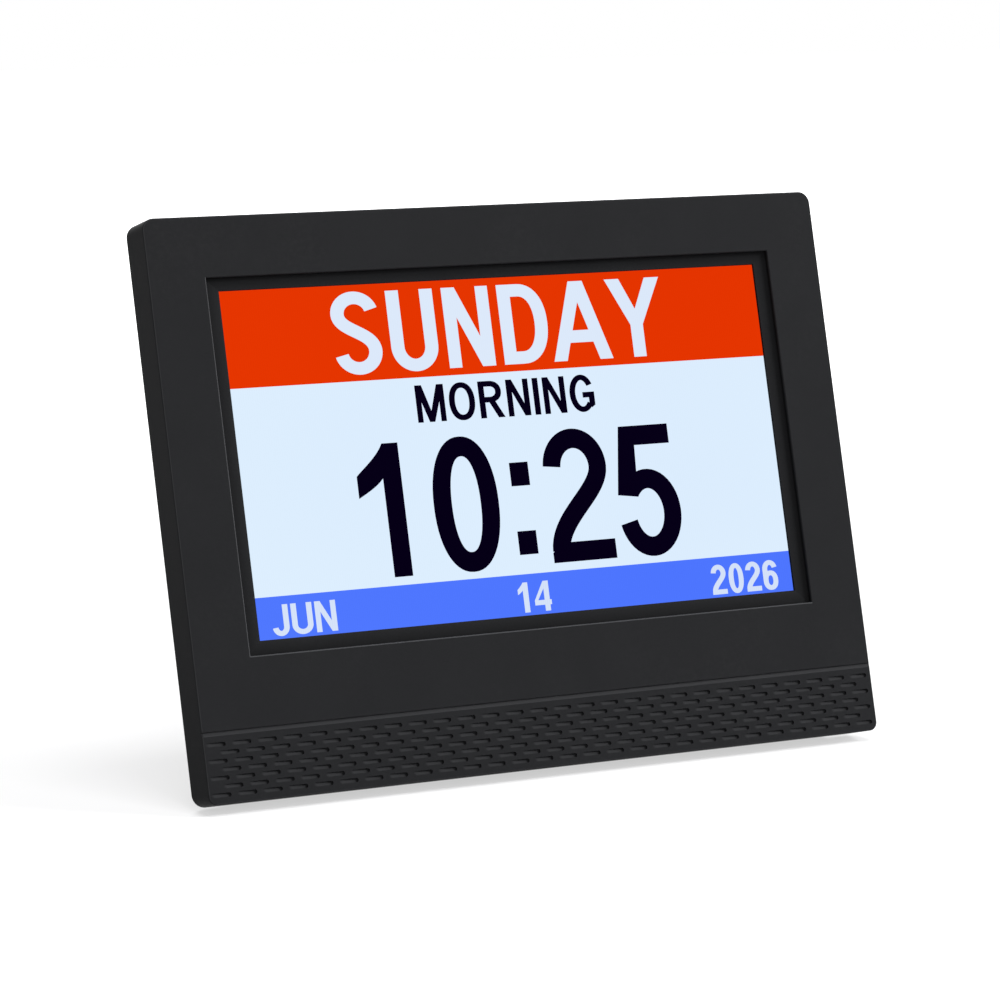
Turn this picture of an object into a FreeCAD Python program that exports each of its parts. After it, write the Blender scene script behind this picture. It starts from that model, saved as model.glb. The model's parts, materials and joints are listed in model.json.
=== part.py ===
import FreeCAD, Part
import math
import os

# Day clock with a seven inch colour display, standing on a table and leaning back.
#
# Every piece is modelled in the frame of the clock itself and is then leaned back as a whole:
# x runs to the right along the face, y runs from the face into the case, and z runs up the
# face from its bottom edge. The finished part has z up from the table, the clock faces -y,
# and the origin is on the table at the middle of the whole footprint.
# All lengths are in millimetres and all angles in degrees.

Vector = FreeCAD.Vector
X_AXIS = Vector(1, 0, 0)
Y_AXIS = Vector(0, 1, 0)

# --- the case as a whole
FACE_WIDTH = 192.4
FACE_HEIGHT = 142.8
CASE_DEPTH = 24.0
LEAN = 14.4
CORNER_RADIUS = 3.3
FACE_FOOT_RADIUS = 2.2        # at the face the lower corners of the front shell are tighter
FACE_HEAD_RADIUS = 3.1        # and so, by less, are the upper ones
EDGE_ROUND = 0.4
TABLE_GAP = 0.3              # from the table up to the lowest edge of the front shell

# --- front bezel
SHELL_DEPTH = 10.3
SHELL_WALL = 2.2
FRONT_WALL = 2.4
FRAME_SIDE = 15.3            # plain face beside the window
FRAME_TOP = 15.25            # plain face above the window
FRAME_BOTTOM = 34.85         # face below the window, with the groove and the pattern
LEDGE_SIDE = 3.8             # black ledge beside the picture
LEDGE_END = 3.4              # black ledge above and below the picture
PICTURE_RISE = 0.2           # the picture sits this much higher than the window
WINDOW_STEP = 1.2            # straight wall of the window, from the face to the ledge
LEDGE_FALL = 0.4             # the ledge falls this much towards the picture
LIP_THICKNESS = 0.4          # lip left at the inner edge of the ledge
WINDOW_ROUND = 0.3

# --- groove and pressed-in pattern below the window
GROOVE_BOTTOM = 16.5
GROOVE_SLOPE = 1.1           # height of the lower, sloping wall of the groove
GROOVE_STEP = 0.2            # steeper strip at the foot of that wall
GROOVE_LIP = 0.08            # height of the steep upper wall
GROOVE_DEPTH = 0.4
DIMPLE_LENGTH = 5.15
DIMPLE_HEIGHT = 1.05
DIMPLE_DEPTH = 0.27            # depth in the middle of a dimple
DIMPLE_RUN = 0.5              # how much deeper the right end is than the left end
DIMPLE_FALL = 0.14             # how much deeper the upper side is than the lower side
DIMPLE_PITCH = 6.85
DIMPLE_ROW_PITCH = 2.035
DIMPLE_ROWS = 7
DIMPLE_TOP_DROP = 2.0        # from the foot of the groove down to the middle of the top row
DIMPLE_MARGIN = 1.1          # bare strip left at each end of a full row
DIMPLE_SHIFT = -0.33         # the pattern stands this far off the middle of the face

# --- display module
MODULE_BORDER_SIDE = 5.35    # glass beside the picture
MODULE_BORDER_TOP = 5.35     # glass above the picture
MODULE_BORDER_FOOT = 8.75    # glass below the picture, where the connections are
GLASS_THICKNESS = 1.2
BACKLIGHT_DEPTH = 4.5
BACKLIGHT_WALL = 0.5
GASKET_THICKNESS = 0.2
GASKET_MARGIN = 1.0
RIB_THICKNESS = 1.2            # ribs and hooks that hold the module in the front shell
RIB_LENGTH = 9.0
RIB_SPREAD_X = 0.36            # places of the ribs and hooks, as shares of the module's size
RIB_SPREAD_Z = 0.3
HOOK_SPREAD_X = 0.18
BRACKET_SPREAD = 55.0          # steel clips at the lower edge of the module
BRACKET_THICKNESS = 0.6
BRACKET_WIDTH = 10.0
BRACKET_OVERLAP = 3.0
BRACKET_CORNER = 1.0
DIFFUSER_THICKNESS = 0.4
GUIDE_THICKNESS = 2.6
REFLECTOR_THICKNESS = 0.3
LED_BAR_HEIGHT = 3.0
LED_COUNT = 24
LED_LENGTH = 3.0
LED_DEPTH = 0.8

# --- rear cover
FLANGE_THICKNESS = 2.0
COVER_WALL = 2.0
TRAY_INSET = 9.2             # from the edge of the face to the side of the raised tray
TRAY_DRAFT = 1.0
TRAY_CORNER = 6.0
TRAY_ROUND = 2.0
TRAY_FLOOR = 5.6             # height of the flat floor inside the tray
FOOT_RISE = 1.0              # from the table up to the sole of the tray

# --- rubber pads below the tray
PAD_WIDTH = 22.0
PAD_LENGTH = 8.0
PAD_THICKNESS = 1.5
PAD_EDGE = 23.0              # from the side of the tray in to the middle of a pad

# --- easel leg
HINGE_HEIGHT = 74.0
HINGE_INSET = 2.3            # from the back of the tray to the hinge axis
LEG_OPENING = 30.0
LEG_WIDTH = 42.0
LEG_TIP_WIDTH = 32.0
LEG_THICKNESS = 3.2
LEG_PANEL_DEPTH = 0.8
LEG_FRAME = 5.0
BARREL_RADIUS = 2.2
POCKET_DEPTH = 4.8
POCKET_WALL = 1.6
FOOT_THICKNESS = 1.6
HINGE_PIN_RADIUS = 1.0
HINGE_PIN_GRIP = 5.0         # length of each pin inside the leg
HINGE_BORE_SPARE = 1.0       # how much deeper the bore is than the pin
WASHER_RADIUS = 1.9
WASHER_THICKNESS = 0.4
HEEL_TRIM = 0.03             # kept between the heel of the open leg and its stop

# --- keys
KEY_NAMES = ("power", "menu", "up", "down", "enter", "back")
KEY_PITCH = 15.0
KEY_WIDTH = 9.0
KEY_HEIGHT = 5.4
KEY_PROUD = 0.8              # stands out of the back by this much
KEY_TRAVEL = 0.5
KEY_FLANGE = 1.0             # thickness of the flange that keeps a key in
KEY_LIP = 1.0                # width of that flange all round
KEY_DROP = 10.6              # from the top of the tray down to the row of keys
SWITCH_SIZE = 6.0
SWITCH_HEIGHT = 3.4
PLUNGER_RADIUS = 1.7
KEY_BOARD_GAP = 2.3          # from the flange of the last key to the boss beside it
KEY_BOARD_HEIGHT = 13.0

# --- wall keyholes in the rear cover
KEYHOLE_SPREAD = 62.0
KEYHOLE_DROP = 22.6          # from the top of the tray down to the round hole
KEYHOLE_RADIUS = 4.0
KEYHOLE_SLOT = 4.0
KEYHOLE_RISE = 7.0
KEYHOLE_ROOM = 4.4           # free depth behind the wall for the head of the screw
SHROUD_WALL = 1.2

# --- main board
BOARD_THICKNESS = 1.6
BOARD_STANDOFF = 6.8
BOARD_EDGE = 2.0             # from the right wall of the tray to the board
BOARD_WIDTH = 46.0
BOARD_BOTTOM = 34.0
BOARD_HEIGHT = 68.0
BOARD_HOLE_INSET = 4.0
PROCESSOR_SIZE = 12.0
MEMORY_LENGTH = 10.0
MEMORY_WIDTH = 6.0
POWER_CHIP_LENGTH = 5.0
POWER_CHIP_WIDTH = 4.0
CHIP_HEIGHT = 1.4
CHIP_LEAD = 1.0
INDUCTOR_SIZE = 6.0
INDUCTOR_HEIGHT = 3.0
INDUCTOR_CORNER = 1.0
CAPACITOR_RADIUS = 2.5
CAPACITOR_HEIGHT = 5.4
CRYSTAL_LENGTH = 9.0
CRYSTAL_WIDTH = 3.6
CRYSTAL_HEIGHT = 3.0
CELL_RADIUS = 10.0
CELL_THICKNESS = 3.2
HOLDER_BASE = 1.0
HOLDER_WALL = 1.2
HEADER_LENGTH = 6.0
HEADER_HEIGHT = 3.0

# places on the main board, as shares of its width and height
PROCESSOR_PLACE = (0.22, 0.66)
MEMORY_PLACE = (0.22, 0.42)
REGULATOR_PLACE = (0.5, 0.16)
AMPLIFIER_PLACE = (0.2, 0.24)
INDUCTOR_PLACE = (0.3, 0.08)
CAPACITOR_PLACES = ((0.56, 0.34), (0.72, 0.34))
CRYSTAL_PLACE = (0.34, 0.86)
CELL_PLACE = (0.7, 0.62)
SPEAKER_HEADER_PLACE = (0.09, 0.38)
KEY_HEADER_PLACE = (0.5, 0.86)
FFC_PLACE = (0.5, 0.12)

# --- flat cable of the display
FFC_WIDTH = 24.0
FFC_THICKNESS = 0.25
FFC_TAIL = 18.0              # length of the cable on the back of the module
FFC_GRIP = 3.5               # length of the cable inside its connector
FFC_CONNECTOR_WIDTH = 28.0
FFC_CONNECTOR_HEIGHT = 2.0
FFC_CONNECTOR_LENGTH = 5.0
FFC_CONNECTOR_BACK = 1.0     # closed end of the connector
KEY_CABLE_WIDTH = 5.0
KEY_CABLE_THICKNESS = 0.5

# --- power inlet, for a plug of 4.0 mm with a 1.7 mm bore
JACK_SIZE = 6.4
JACK_LENGTH = 14.0
JACK_BORE_RADIUS = 2.1
JACK_BORE_DEPTH = 9.0
JACK_PIN_RADIUS = 0.8
JACK_PIN_ROOT_RADIUS = 0.6   # the pin is thinner where it sits in the housing
JACK_PIN_ROOT = 2.0
JACK_PIN_SETBACK = 0.8
JACK_HEIGHT = 46.0
JACK_PORT_RADIUS = 4.0

# --- loudspeaker
SPEAKER_EDGE = 0.5           # from the left wall of the tray to the outer ear
SPEAKER_HEIGHT = 42.0
SPEAKER_RADIUS = 17.0
SPEAKER_RIM = 2.5
SPEAKER_SHEET = 0.8
SPEAKER_DEPTH = 4.7          # depth of the basket behind its rim
MAGNET_RADIUS = 9.0
MAGNET_HEIGHT = 4.0
CONE_PAPER = 0.4
SPEAKER_EAR_REACH = 20.0
SPEAKER_THROAT = 2.0
SPEAKER_TAB_OVERHANG = 2.0   # the wires are soldered this far in from the end of the tab
SPEAKER_EAR_HEIGHT = 9.0
FOAM_THICKNESS = 1.0
GRILLE_HOLE_RADIUS = 0.9
GRILLE_PITCH = 3.2
WIRE_RADIUS = 0.6

# --- vents
VENT_COUNT = 9
VENT_PITCH = 3.6
VENT_WIDTH = 1.6
VENT_LENGTH = 11.0
VENT_EDGE = 30.0             # from the side of the tray in to the middle of a group
VENT_DROP = 42.6             # from the top of the tray down to the middle of the slots

# --- screws
SCREW_RADIUS = 1.25
SCREW_HEAD_RADIUS = 2.3
SCREW_HEAD_HEIGHT = 1.3
COVER_SCREW_LENGTH = 6.4
BOSS_RADIUS = 3.0
SMALL_SCREW_RADIUS = 1.0
SMALL_HEAD_RADIUS = 1.9
SMALL_HEAD_HEIGHT = 1.0
SMALL_BOSS_RADIUS = 2.3

# --- clearances
THREAD_CLEARANCE = 0.05
HOLE_CLEARANCE = 0.2
PIN_CLEARANCE = 0.05
SEAT_CLEARANCE = 0.15
SLIDE_CLEARANCE = 0.2
MODULE_CLEARANCE = 0.3
LOOSE_CLEARANCE = 0.5
TOUCH_CLEARANCE = 0.05
RIM_CLEARANCE = 0.1

# --- planes and places that follow from the sizes above
half_face = FACE_WIDTH / 2
picture_width = FACE_WIDTH - 2 * (FRAME_SIDE + LEDGE_SIDE)
picture_height = FACE_HEIGHT - FRAME_TOP - FRAME_BOTTOM - 2 * LEDGE_END
window_middle = FRAME_BOTTOM + LEDGE_END + picture_height / 2
picture_middle = window_middle + PICTURE_RISE
picture_bottom = picture_middle - picture_height / 2
picture_top = picture_middle + picture_height / 2
ledge_plane = WINDOW_STEP + LEDGE_FALL
lip_plane = ledge_plane + LIP_THICKNESS
glass_plane = lip_plane + GASKET_THICKNESS
backlight_plane = glass_plane + GLASS_THICKNESS
module_back = backlight_plane + BACKLIGHT_DEPTH
flange_plane = SHELL_DEPTH - FLANGE_THICKNESS
tray_inside = CASE_DEPTH - COVER_WALL
tray_half = half_face - TRAY_INSET
tray_top = FACE_HEIGHT - TRAY_INSET
inner_half = tray_half - TRAY_DRAFT - COVER_WALL
inner_top = tray_top - TRAY_DRAFT - COVER_WALL
module_half = picture_width / 2 + MODULE_BORDER_SIDE
module_bottom = picture_bottom - MODULE_BORDER_FOOT
module_top = picture_top + MODULE_BORDER_TOP
module_middle = (module_bottom + module_top) / 2
pad_spread = tray_half - PAD_EDGE
vent_spread = tray_half - VENT_EDGE
vent_height = tray_top - VENT_DROP
keyhole_height = tray_top - KEYHOLE_DROP
board_back = tray_inside - BOARD_STANDOFF
board_front = board_back - BOARD_THICKNESS
board_left = inner_half - BOARD_EDGE - BOARD_WIDTH
hinge_plane = CASE_DEPTH - HINGE_INSET
pocket_floor = CASE_DEPTH - POCKET_DEPTH
pocket_half = LEG_WIDTH / 2 + WASHER_THICKNESS + RIM_CLEARANCE
key_height = tray_top - KEY_DROP
key_flange_front = tray_inside - RIM_CLEARANCE - KEY_FLANGE
switch_front = key_flange_front - KEY_TRAVEL - TOUCH_CLEARANCE
key_board_back = switch_front - SWITCH_HEIGHT
last_key = (len(KEY_NAMES) - 1) / 2 * KEY_PITCH
key_boss_x = last_key + KEY_WIDTH / 2 + KEY_LIP + KEY_BOARD_GAP + SMALL_BOSS_RADIUS
key_board_half = key_boss_x + SMALL_BOSS_RADIUS + RIM_CLEARANCE
speaker_x = SPEAKER_EAR_REACH + SPEAKER_EAR_HEIGHT / 2 + SPEAKER_EDGE - inner_half
speaker_back = tray_inside - FOAM_THICKNESS
speaker_front = speaker_back - SPEAKER_SHEET - SPEAKER_DEPTH
jack_middle = board_back + JACK_SIZE / 2
jack_mouth = inner_half - HOLE_CLEARANCE
jack_floor = jack_mouth - JACK_BORE_DEPTH
lean = math.radians(LEAN)
table_level = -SHELL_DEPTH * math.sin(lean) - TABLE_GAP


def block(x, y, z):
    """A block between the low and high values given for each axis."""
    return Part.makeBox(x[1] - x[0], y[1] - y[0], z[1] - z[0], Vector(x[0], y[0], z[0]))


def rod(start, direction, length, radius):
    """A round rod from a point along a direction."""
    return Part.makeCylinder(radius, length, start, direction)


def rod_y(x, z, y, radius):
    """A round rod along y, between the two values of y."""
    return rod(Vector(x, y[0], z), Y_AXIS, y[1] - y[0], radius)


def along(shape, direction):
    """The straight edges of a shape that run along a direction."""
    straight = [edge for edge in shape.Edges if isinstance(edge.Curve, Part.Line)]
    return [edge for edge in straight
            if abs(edge.tangentAt(edge.FirstParameter).dot(direction)) > 0.999]


def edges_at(shape, y):
    """The edges of a shape that lie in the plane at depth y."""
    return [edge for edge in shape.Edges
            if abs(edge.BoundBox.YMin - y) < 1e-4 and abs(edge.BoundBox.YMax - y) < 1e-4]


def plate(x, y, z, radius):
    """A block with its four corners rounded, as seen from the front."""
    body = block(x, y, z)
    return body.makeFillet(radius, along(body, Y_AXIS))


def tapering_plate(x, y, z, foot_radii, head_radii):
    """A block with rounded corners, whose radii change from its front to its back."""
    body = block(x, y, z)
    for side in x:
        for height, (front, back) in zip(z, (foot_radii, head_radii)):
            corner = Vector(side, sum(y) / 2, height)
            edge = min(along(body, Y_AXIS), key=lambda found: (found.CenterOfMass - corner).Length)
            rising = edge.valueAt(edge.FirstParameter).y < corner.y
            body = body.makeFillet(*((front, back) if rising else (back, front)), [edge])
    return body


def stadium(x, z, length, height, y):
    """A plate with half-round ends, around the point x, z."""
    radius = height / 2
    reach = length / 2 - radius
    low_left, low_right = Vector(x - reach, y[0], z - radius), Vector(x + reach, y[0], z - radius)
    high_left, high_right = Vector(x - reach, y[0], z + radius), Vector(x + reach, y[0], z + radius)
    right_end, left_end = Vector(x + reach + radius, y[0], z), Vector(x - reach - radius, y[0], z)
    wire = Part.Wire([
        Part.LineSegment(low_left, low_right).toShape(),
        Part.Arc(low_right, right_end, high_right).toShape(),
        Part.LineSegment(high_right, high_left).toShape(),
        Part.Arc(high_left, left_end, low_left).toShape(),
    ])
    return Part.Face(wire).extrude(Vector(0, y[1] - y[0], 0))


def rectangle(x, z, y):
    """A rectangular wire in the plane at depth y."""
    corners = [(x[0], z[0]), (x[1], z[0]), (x[1], z[1]), (x[0], z[1]), (x[0], z[0])]
    return Part.makePolygon([Vector(cx, y, cz) for cx, cz in corners])


def prism_x(profile, x):
    """A prism along x from a closed profile of (y, z) points."""
    points = [Vector(x[0], y, z) for y, z in profile]
    return Part.Face(Part.makePolygon(points + points[:1])).extrude(Vector(x[1] - x[0], 0, 0))


def revolved(profile, x, z):
    """A body turned about the line along y through x, z, from a profile of (radius, y) points."""
    points = [Vector(x + radius, y, z) for radius, y in profile]
    return Part.Face(Part.makePolygon(points + points[:1])).revolve(Vector(x, 0, z), Y_AXIS, 360)


def joined(shapes):
    """All the given solids fused into one."""
    return shapes[0].multiFuse(shapes[1:]).removeSplitter() if len(shapes) > 1 else shapes[0]


def on_table(x, y, z):
    """A block squared to the table, z measured up from it, given in the clock's own frame."""
    body = block(x, y, (z[0] + table_level, z[1] + table_level))
    body.rotate(Vector(0, 0, 0), X_AXIS, LEAN)
    return body


def both_sides(distance):
    """The two places at a distance left and right of the middle."""
    return (-distance, distance)


def tube(points, radius):
    """A round wire through the points, its corners rounded as widely as its runs allow."""
    edges = []
    start = points[0]
    for before, corner, after in zip(points, points[1:], points[2:]):
        run_in = corner - before
        run_out = after - corner
        half_turn = run_in.getAngle(run_out) / 2
        setback = 0.45 * min(run_in.Length, run_out.Length)
        run_in.normalize()
        run_out.normalize()
        first = corner - run_in * setback
        last = corner + run_out * setback
        bend = setback / math.tan(half_turn)
        inward = run_out - run_in
        inward.normalize()
        middle = corner + inward * (bend / math.cos(half_turn) - bend)
        edges.append(Part.LineSegment(start, first).toShape())
        edges.append(Part.Arc(first, middle, last).toShape())
        start = last
    edges.append(Part.LineSegment(start, points[-1]).toShape())
    section = Part.Wire(Part.makeCircle(radius, points[0], points[1] - points[0]))
    return Part.Wire(edges).makePipeShell([section], True, False)


def pan_screw(x, z, seat, length, radius, head_radius, head_height, side):
    """A pan-head screw along y: its head lies on the seat, on the side given as +1 or -1."""
    head = rod(Vector(x, seat, z), Y_AXIS * side, head_height, head_radius)
    crown = [edge for edge in head.Edges if abs(edge.BoundBox.YMin - seat - side * head_height) < 1e-4]
    head = head.makeFillet(head_height / 3, crown)
    recess = [block((x - head_radius / 2, x + head_radius / 2), (seat, seat + head_height),
                    (z - radius / 4, z + radius / 4)),
              block((x - radius / 4, x + radius / 4), (seat, seat + head_height),
                    (z - head_radius / 2, z + head_radius / 2))]
    for bar in recess:
        bar.translate(Vector(0, head_height / 2 if side > 0 else -head_height * 1.5, 0))
    shank = rod(Vector(x, seat, z), Y_AXIS * -side, length, radius)
    return head.cut(recess[0]).cut(recess[1]).fuse(shank).removeSplitter()


# ------------------------------------------------------------------ places shared by several pieces

screw_column = (tray_half + half_face - SHELL_WALL - SEAT_CLEARANCE) / 2
cover_screw_places = [(x, z) for x in both_sides(screw_column)
                      for z in (TRAY_INSET, FACE_HEIGHT / 2, tray_top)]
bracket_screw_height = module_bottom - MODULE_CLEARANCE - BOSS_RADIUS
key_places = [-last_key + index * KEY_PITCH for index in range(len(KEY_NAMES))]
key_board_holes = [(x, key_height) for x in both_sides(key_boss_x)]
speaker_holes = [(speaker_x + reach, SPEAKER_HEIGHT) for reach in both_sides(SPEAKER_EAR_REACH)]


def on_board(place):
    """A place on the main board, from its shares of the board's width and height."""
    return board_left + BOARD_WIDTH * place[0], BOARD_BOTTOM + BOARD_HEIGHT * place[1]


board_holes = [(x, z)
               for x in (board_left + BOARD_HOLE_INSET, board_left + BOARD_WIDTH - BOARD_HOLE_INSET)
               for z in (BOARD_BOTTOM + BOARD_HOLE_INSET, BOARD_BOTTOM + BOARD_HEIGHT - BOARD_HOLE_INSET)]
speaker_header = on_board(SPEAKER_HEADER_PLACE)
key_header = on_board(KEY_HEADER_PLACE)
ffc_x, ffc_bend_height = on_board(FFC_PLACE)
ffc_far = board_front - FFC_CONNECTOR_HEIGHT / 2


# ------------------------------------------------------------------ front shell

def dimple_rows():
    """The middle of every dimple in the pattern: full rows and rows set off by half a pitch."""
    usable = FACE_WIDTH - 2 * DIMPLE_MARGIN - DIMPLE_LENGTH
    full = int(usable / DIMPLE_PITCH) + 1
    top = GROOVE_BOTTOM - DIMPLE_TOP_DROP
    places = []
    for row in range(DIMPLE_ROWS):
        count = full - row % 2
        height = top - row * DIMPLE_ROW_PITCH
        places += [((column - (count - 1) / 2) * DIMPLE_PITCH + DIMPLE_SHIFT, height)
                   for column in range(count)]
    return places


def dimple(x, z):
    """A pressed-in dimple: half-round ends and a floor that falls to its right and upper sides."""
    outline = stadium(x, z, DIMPLE_LENGTH, DIMPLE_HEIGHT, (-1, DIMPLE_DEPTH + 1))
    corners = [Vector(x + right * DIMPLE_LENGTH,
                      DIMPLE_DEPTH + right * DIMPLE_RUN + up * DIMPLE_FALL,
                      z + up * DIMPLE_HEIGHT)
               for right, up in ((-1, -1), (1, -1), (1, 1), (-1, 1))]
    above = Part.Face(Part.makePolygon(corners + corners[:1])).extrude(Vector(0, -2, 0))
    return outline.common(above)


def window_cut():
    """What the window takes out of the front wall: straight wall, falling ledge and opening."""
    outline_x = (FRAME_SIDE - half_face, half_face - FRAME_SIDE)
    outline_z = (FRAME_BOTTOM, FACE_HEIGHT - FRAME_TOP)
    opening_x = (-picture_width / 2 - RIM_CLEARANCE, picture_width / 2 + RIM_CLEARANCE)
    opening_z = (picture_bottom - RIM_CLEARANCE, picture_top + RIM_CLEARANCE)
    mouth = block(outline_x, (-1, WINDOW_STEP), outline_z)
    ledge = Part.makeLoft([rectangle(outline_x, outline_z, WINDOW_STEP),
                           rectangle(opening_x, opening_z, ledge_plane)], True, True)
    opening = block(opening_x, (ledge_plane, FRONT_WALL + 1), opening_z)
    return [mouth, ledge, opening]


def groove_cut():
    """The groove across the face above the pattern."""
    top = GROOVE_BOTTOM + GROOVE_SLOPE
    profile = [(0, GROOVE_BOTTOM), (GROOVE_STEP, GROOVE_BOTTOM + GROOVE_STEP), (GROOVE_DEPTH, top),
               (0, top + GROOVE_LIP), (-1, top + GROOVE_LIP), (-1, GROOVE_BOTTOM)]
    return prism_x(profile, (-FACE_WIDTH, FACE_WIDTH))


def module_ribs():
    """Ribs that locate the display module in the front shell."""
    y = (FRONT_WALL - TOUCH_CLEARANCE, backlight_plane + BACKLIGHT_DEPTH / 2)
    side = module_half + MODULE_CLEARANCE
    low = module_bottom - MODULE_CLEARANCE
    high = module_top + MODULE_CLEARANCE
    half = RIB_LENGTH / 2
    ribs = []
    for x in both_sides(2 * module_half * RIB_SPREAD_X):
        ribs.append(block((x - half, x + half), y, (low - RIB_THICKNESS, low)))
        ribs.append(block((x - half, x + half), y, (high, high + RIB_THICKNESS)))
    for shift in both_sides((module_top - module_bottom) * RIB_SPREAD_Z):
        z = module_middle + shift
        ribs.append(block((-side - RIB_THICKNESS, -side), y, (z - half, z + half)))
        ribs.append(block((side, side + RIB_THICKNESS), y, (z - half, z + half)))
    return ribs


def module_hooks(grow):
    """Two hooks of the front shell that hold the upper edge of the module, grown by a margin."""
    front = module_back + SLIDE_CLEARANCE
    back = front + RIB_THICKNESS + grow
    high = module_top + MODULE_CLEARANCE
    hooks = []
    for x in both_sides(2 * module_half * HOOK_SPREAD_X):
        wide = (x - RIB_LENGTH / 2 - grow, x + RIB_LENGTH / 2 + grow)
        hooks.append(block(wide, (FRONT_WALL - TOUCH_CLEARANCE, back),
                           (high, high + 2 * RIB_THICKNESS + grow)))
        hooks.append(block(wide, (front, back),
                           (high - 1.5 * RIB_THICKNESS - grow, high + RIB_THICKNESS)))
    return hooks


def front_bezel():
    """Front shell: face with window, groove and pattern, and the bosses behind it."""
    shell = tapering_plate((-half_face, half_face), (0, SHELL_DEPTH), (0, FACE_HEIGHT),
                           (FACE_FOOT_RADIUS, CORNER_RADIUS), (FACE_HEAD_RADIUS, CORNER_RADIUS))
    shell = shell.makeFillet(EDGE_ROUND, edges_at(shell, 0) + edges_at(shell, SHELL_DEPTH))
    inside = SHELL_WALL
    cavity = plate((-half_face + inside, half_face - inside), (FRONT_WALL, SHELL_DEPTH + 1),
                   (inside, FACE_HEIGHT - inside), CORNER_RADIUS / 2)
    recess = block((-module_half - MODULE_CLEARANCE, module_half + MODULE_CLEARANCE),
                   (lip_plane, FRONT_WALL + 1),
                   (module_bottom - MODULE_CLEARANCE, module_top + MODULE_CLEARANCE))
    shell = shell.cut([cavity, recess] + window_cut())
    near_window = half_face - FRAME_SIDE / 2
    rim = [edge for edge in edges_at(shell, 0) if edge.BoundBox.XMax < near_window and
           edge.BoundBox.XMin > -near_window and edge.BoundBox.ZMin > FRAME_BOTTOM / 2]
    shell = shell.makeFillet(WINDOW_ROUND, rim)
    bosses = [rod_y(x, z, (FRONT_WALL - TOUCH_CLEARANCE, flange_plane), BOSS_RADIUS)
              for x, z in cover_screw_places]
    bosses += [rod_y(x, bracket_screw_height, (FRONT_WALL - TOUCH_CLEARANCE, module_back), BOSS_RADIUS)
               for x in both_sides(BRACKET_SPREAD)]
    shell = shell.multiFuse(bosses + module_ribs() + module_hooks(0)).removeSplitter()
    bores = [rod_y(x, z, (FRONT_WALL, flange_plane + 1), SCREW_RADIUS + THREAD_CLEARANCE)
             for x, z in cover_screw_places]
    bores += [rod_y(x, bracket_screw_height, (FRONT_WALL, module_back + 1),
                    SMALL_SCREW_RADIUS + THREAD_CLEARANCE) for x in both_sides(BRACKET_SPREAD)]
    dimples = [dimple(x, z) for x, z in dimple_rows()]
    return shell.cut(bores + [groove_cut()] + dimples)


# ------------------------------------------------------------------ display module

def window_gasket():
    """Thin foam frame between the lip of the window and the glass."""
    outer = block((-module_half + GASKET_MARGIN, module_half - GASKET_MARGIN), (lip_plane, glass_plane),
                  (module_bottom + GASKET_MARGIN, module_top - GASKET_MARGIN))
    inner = block((-picture_width / 2 - GASKET_MARGIN, picture_width / 2 + GASKET_MARGIN),
                  (lip_plane - 1, glass_plane + 1),
                  (picture_bottom - GASKET_MARGIN, picture_top + GASKET_MARGIN))
    return outer.cut(inner)


def lcd_glass():
    """The liquid crystal panel."""
    return block((-module_half, module_half), (glass_plane, backlight_plane),
                 (module_bottom, module_top))


def backlight_inside():
    """Width and height ranges of the space inside the backlight tray."""
    return ((-module_half + BACKLIGHT_WALL, module_half - BACKLIGHT_WALL),
            (module_bottom + BACKLIGHT_WALL, module_top - BACKLIGHT_WALL))


def backlight_tray():
    """Pressed steel tray that carries the backlight."""
    x, z = backlight_inside()
    body = block((-module_half, module_half), (backlight_plane, module_back),
                 (module_bottom, module_top))
    return body.cut(block(x, (backlight_plane - 1, module_back - BACKLIGHT_WALL), z))


def sheet(front, thickness, foot):
    """A sheet that fills the backlight tray above its LED bar."""
    x, z = backlight_inside()
    return block((x[0] + RIM_CLEARANCE, x[1] - RIM_CLEARANCE), (front, front + thickness),
                 (z[0] + foot, z[1] - RIM_CLEARANCE))


def diffuser_sheet():
    """Milky sheet between the glass and the light guide."""
    return sheet(backlight_plane, DIFFUSER_THICKNESS, RIM_CLEARANCE)


def light_guide():
    """Clear plate that spreads the light of the LED bar."""
    return sheet(backlight_plane + DIFFUSER_THICKNESS, GUIDE_THICKNESS, LED_BAR_HEIGHT)


def reflector_sheet():
    """White sheet behind the light guide."""
    return sheet(backlight_plane + DIFFUSER_THICKNESS + GUIDE_THICKNESS, REFLECTOR_THICKNESS,
                 RIM_CLEARANCE)


def led_bar():
    """Strip of LEDs that shine up into the light guide."""
    x, z = backlight_inside()
    front = backlight_plane + DIFFUSER_THICKNESS
    strip_height = LED_BAR_HEIGHT - LED_DEPTH - 2 * RIM_CLEARANCE
    top = z[0] + strip_height
    strip = block((x[0] + RIM_CLEARANCE, x[1] - RIM_CLEARANCE), (front, front + GUIDE_THICKNESS),
                  (z[0], top))
    pitch = picture_width / LED_COUNT
    lamps = []
    for index in range(LED_COUNT):
        middle = (index - (LED_COUNT - 1) / 2) * pitch
        lamps.append(block((middle - LED_LENGTH / 2, middle + LED_LENGTH / 2),
                           (front, front + GUIDE_THICKNESS), (top, top + LED_DEPTH)))
    return joined([strip] + lamps)


def lcd_brackets():
    """Two steel clips, screwed to the front shell, that hold the lower edge of the module."""
    clips = []
    for x in both_sides(BRACKET_SPREAD):
        clip = plate((x - BRACKET_WIDTH / 2, x + BRACKET_WIDTH / 2),
                     (module_back, module_back + BRACKET_THICKNESS),
                     (bracket_screw_height - BOSS_RADIUS, module_bottom + BRACKET_OVERLAP),
                     BRACKET_CORNER)
        hole = rod_y(x, bracket_screw_height, (module_back - 1, module_back + 2),
                     SMALL_SCREW_RADIUS + HOLE_CLEARANCE)
        clips.append(clip.cut(hole))
    return clips


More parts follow.
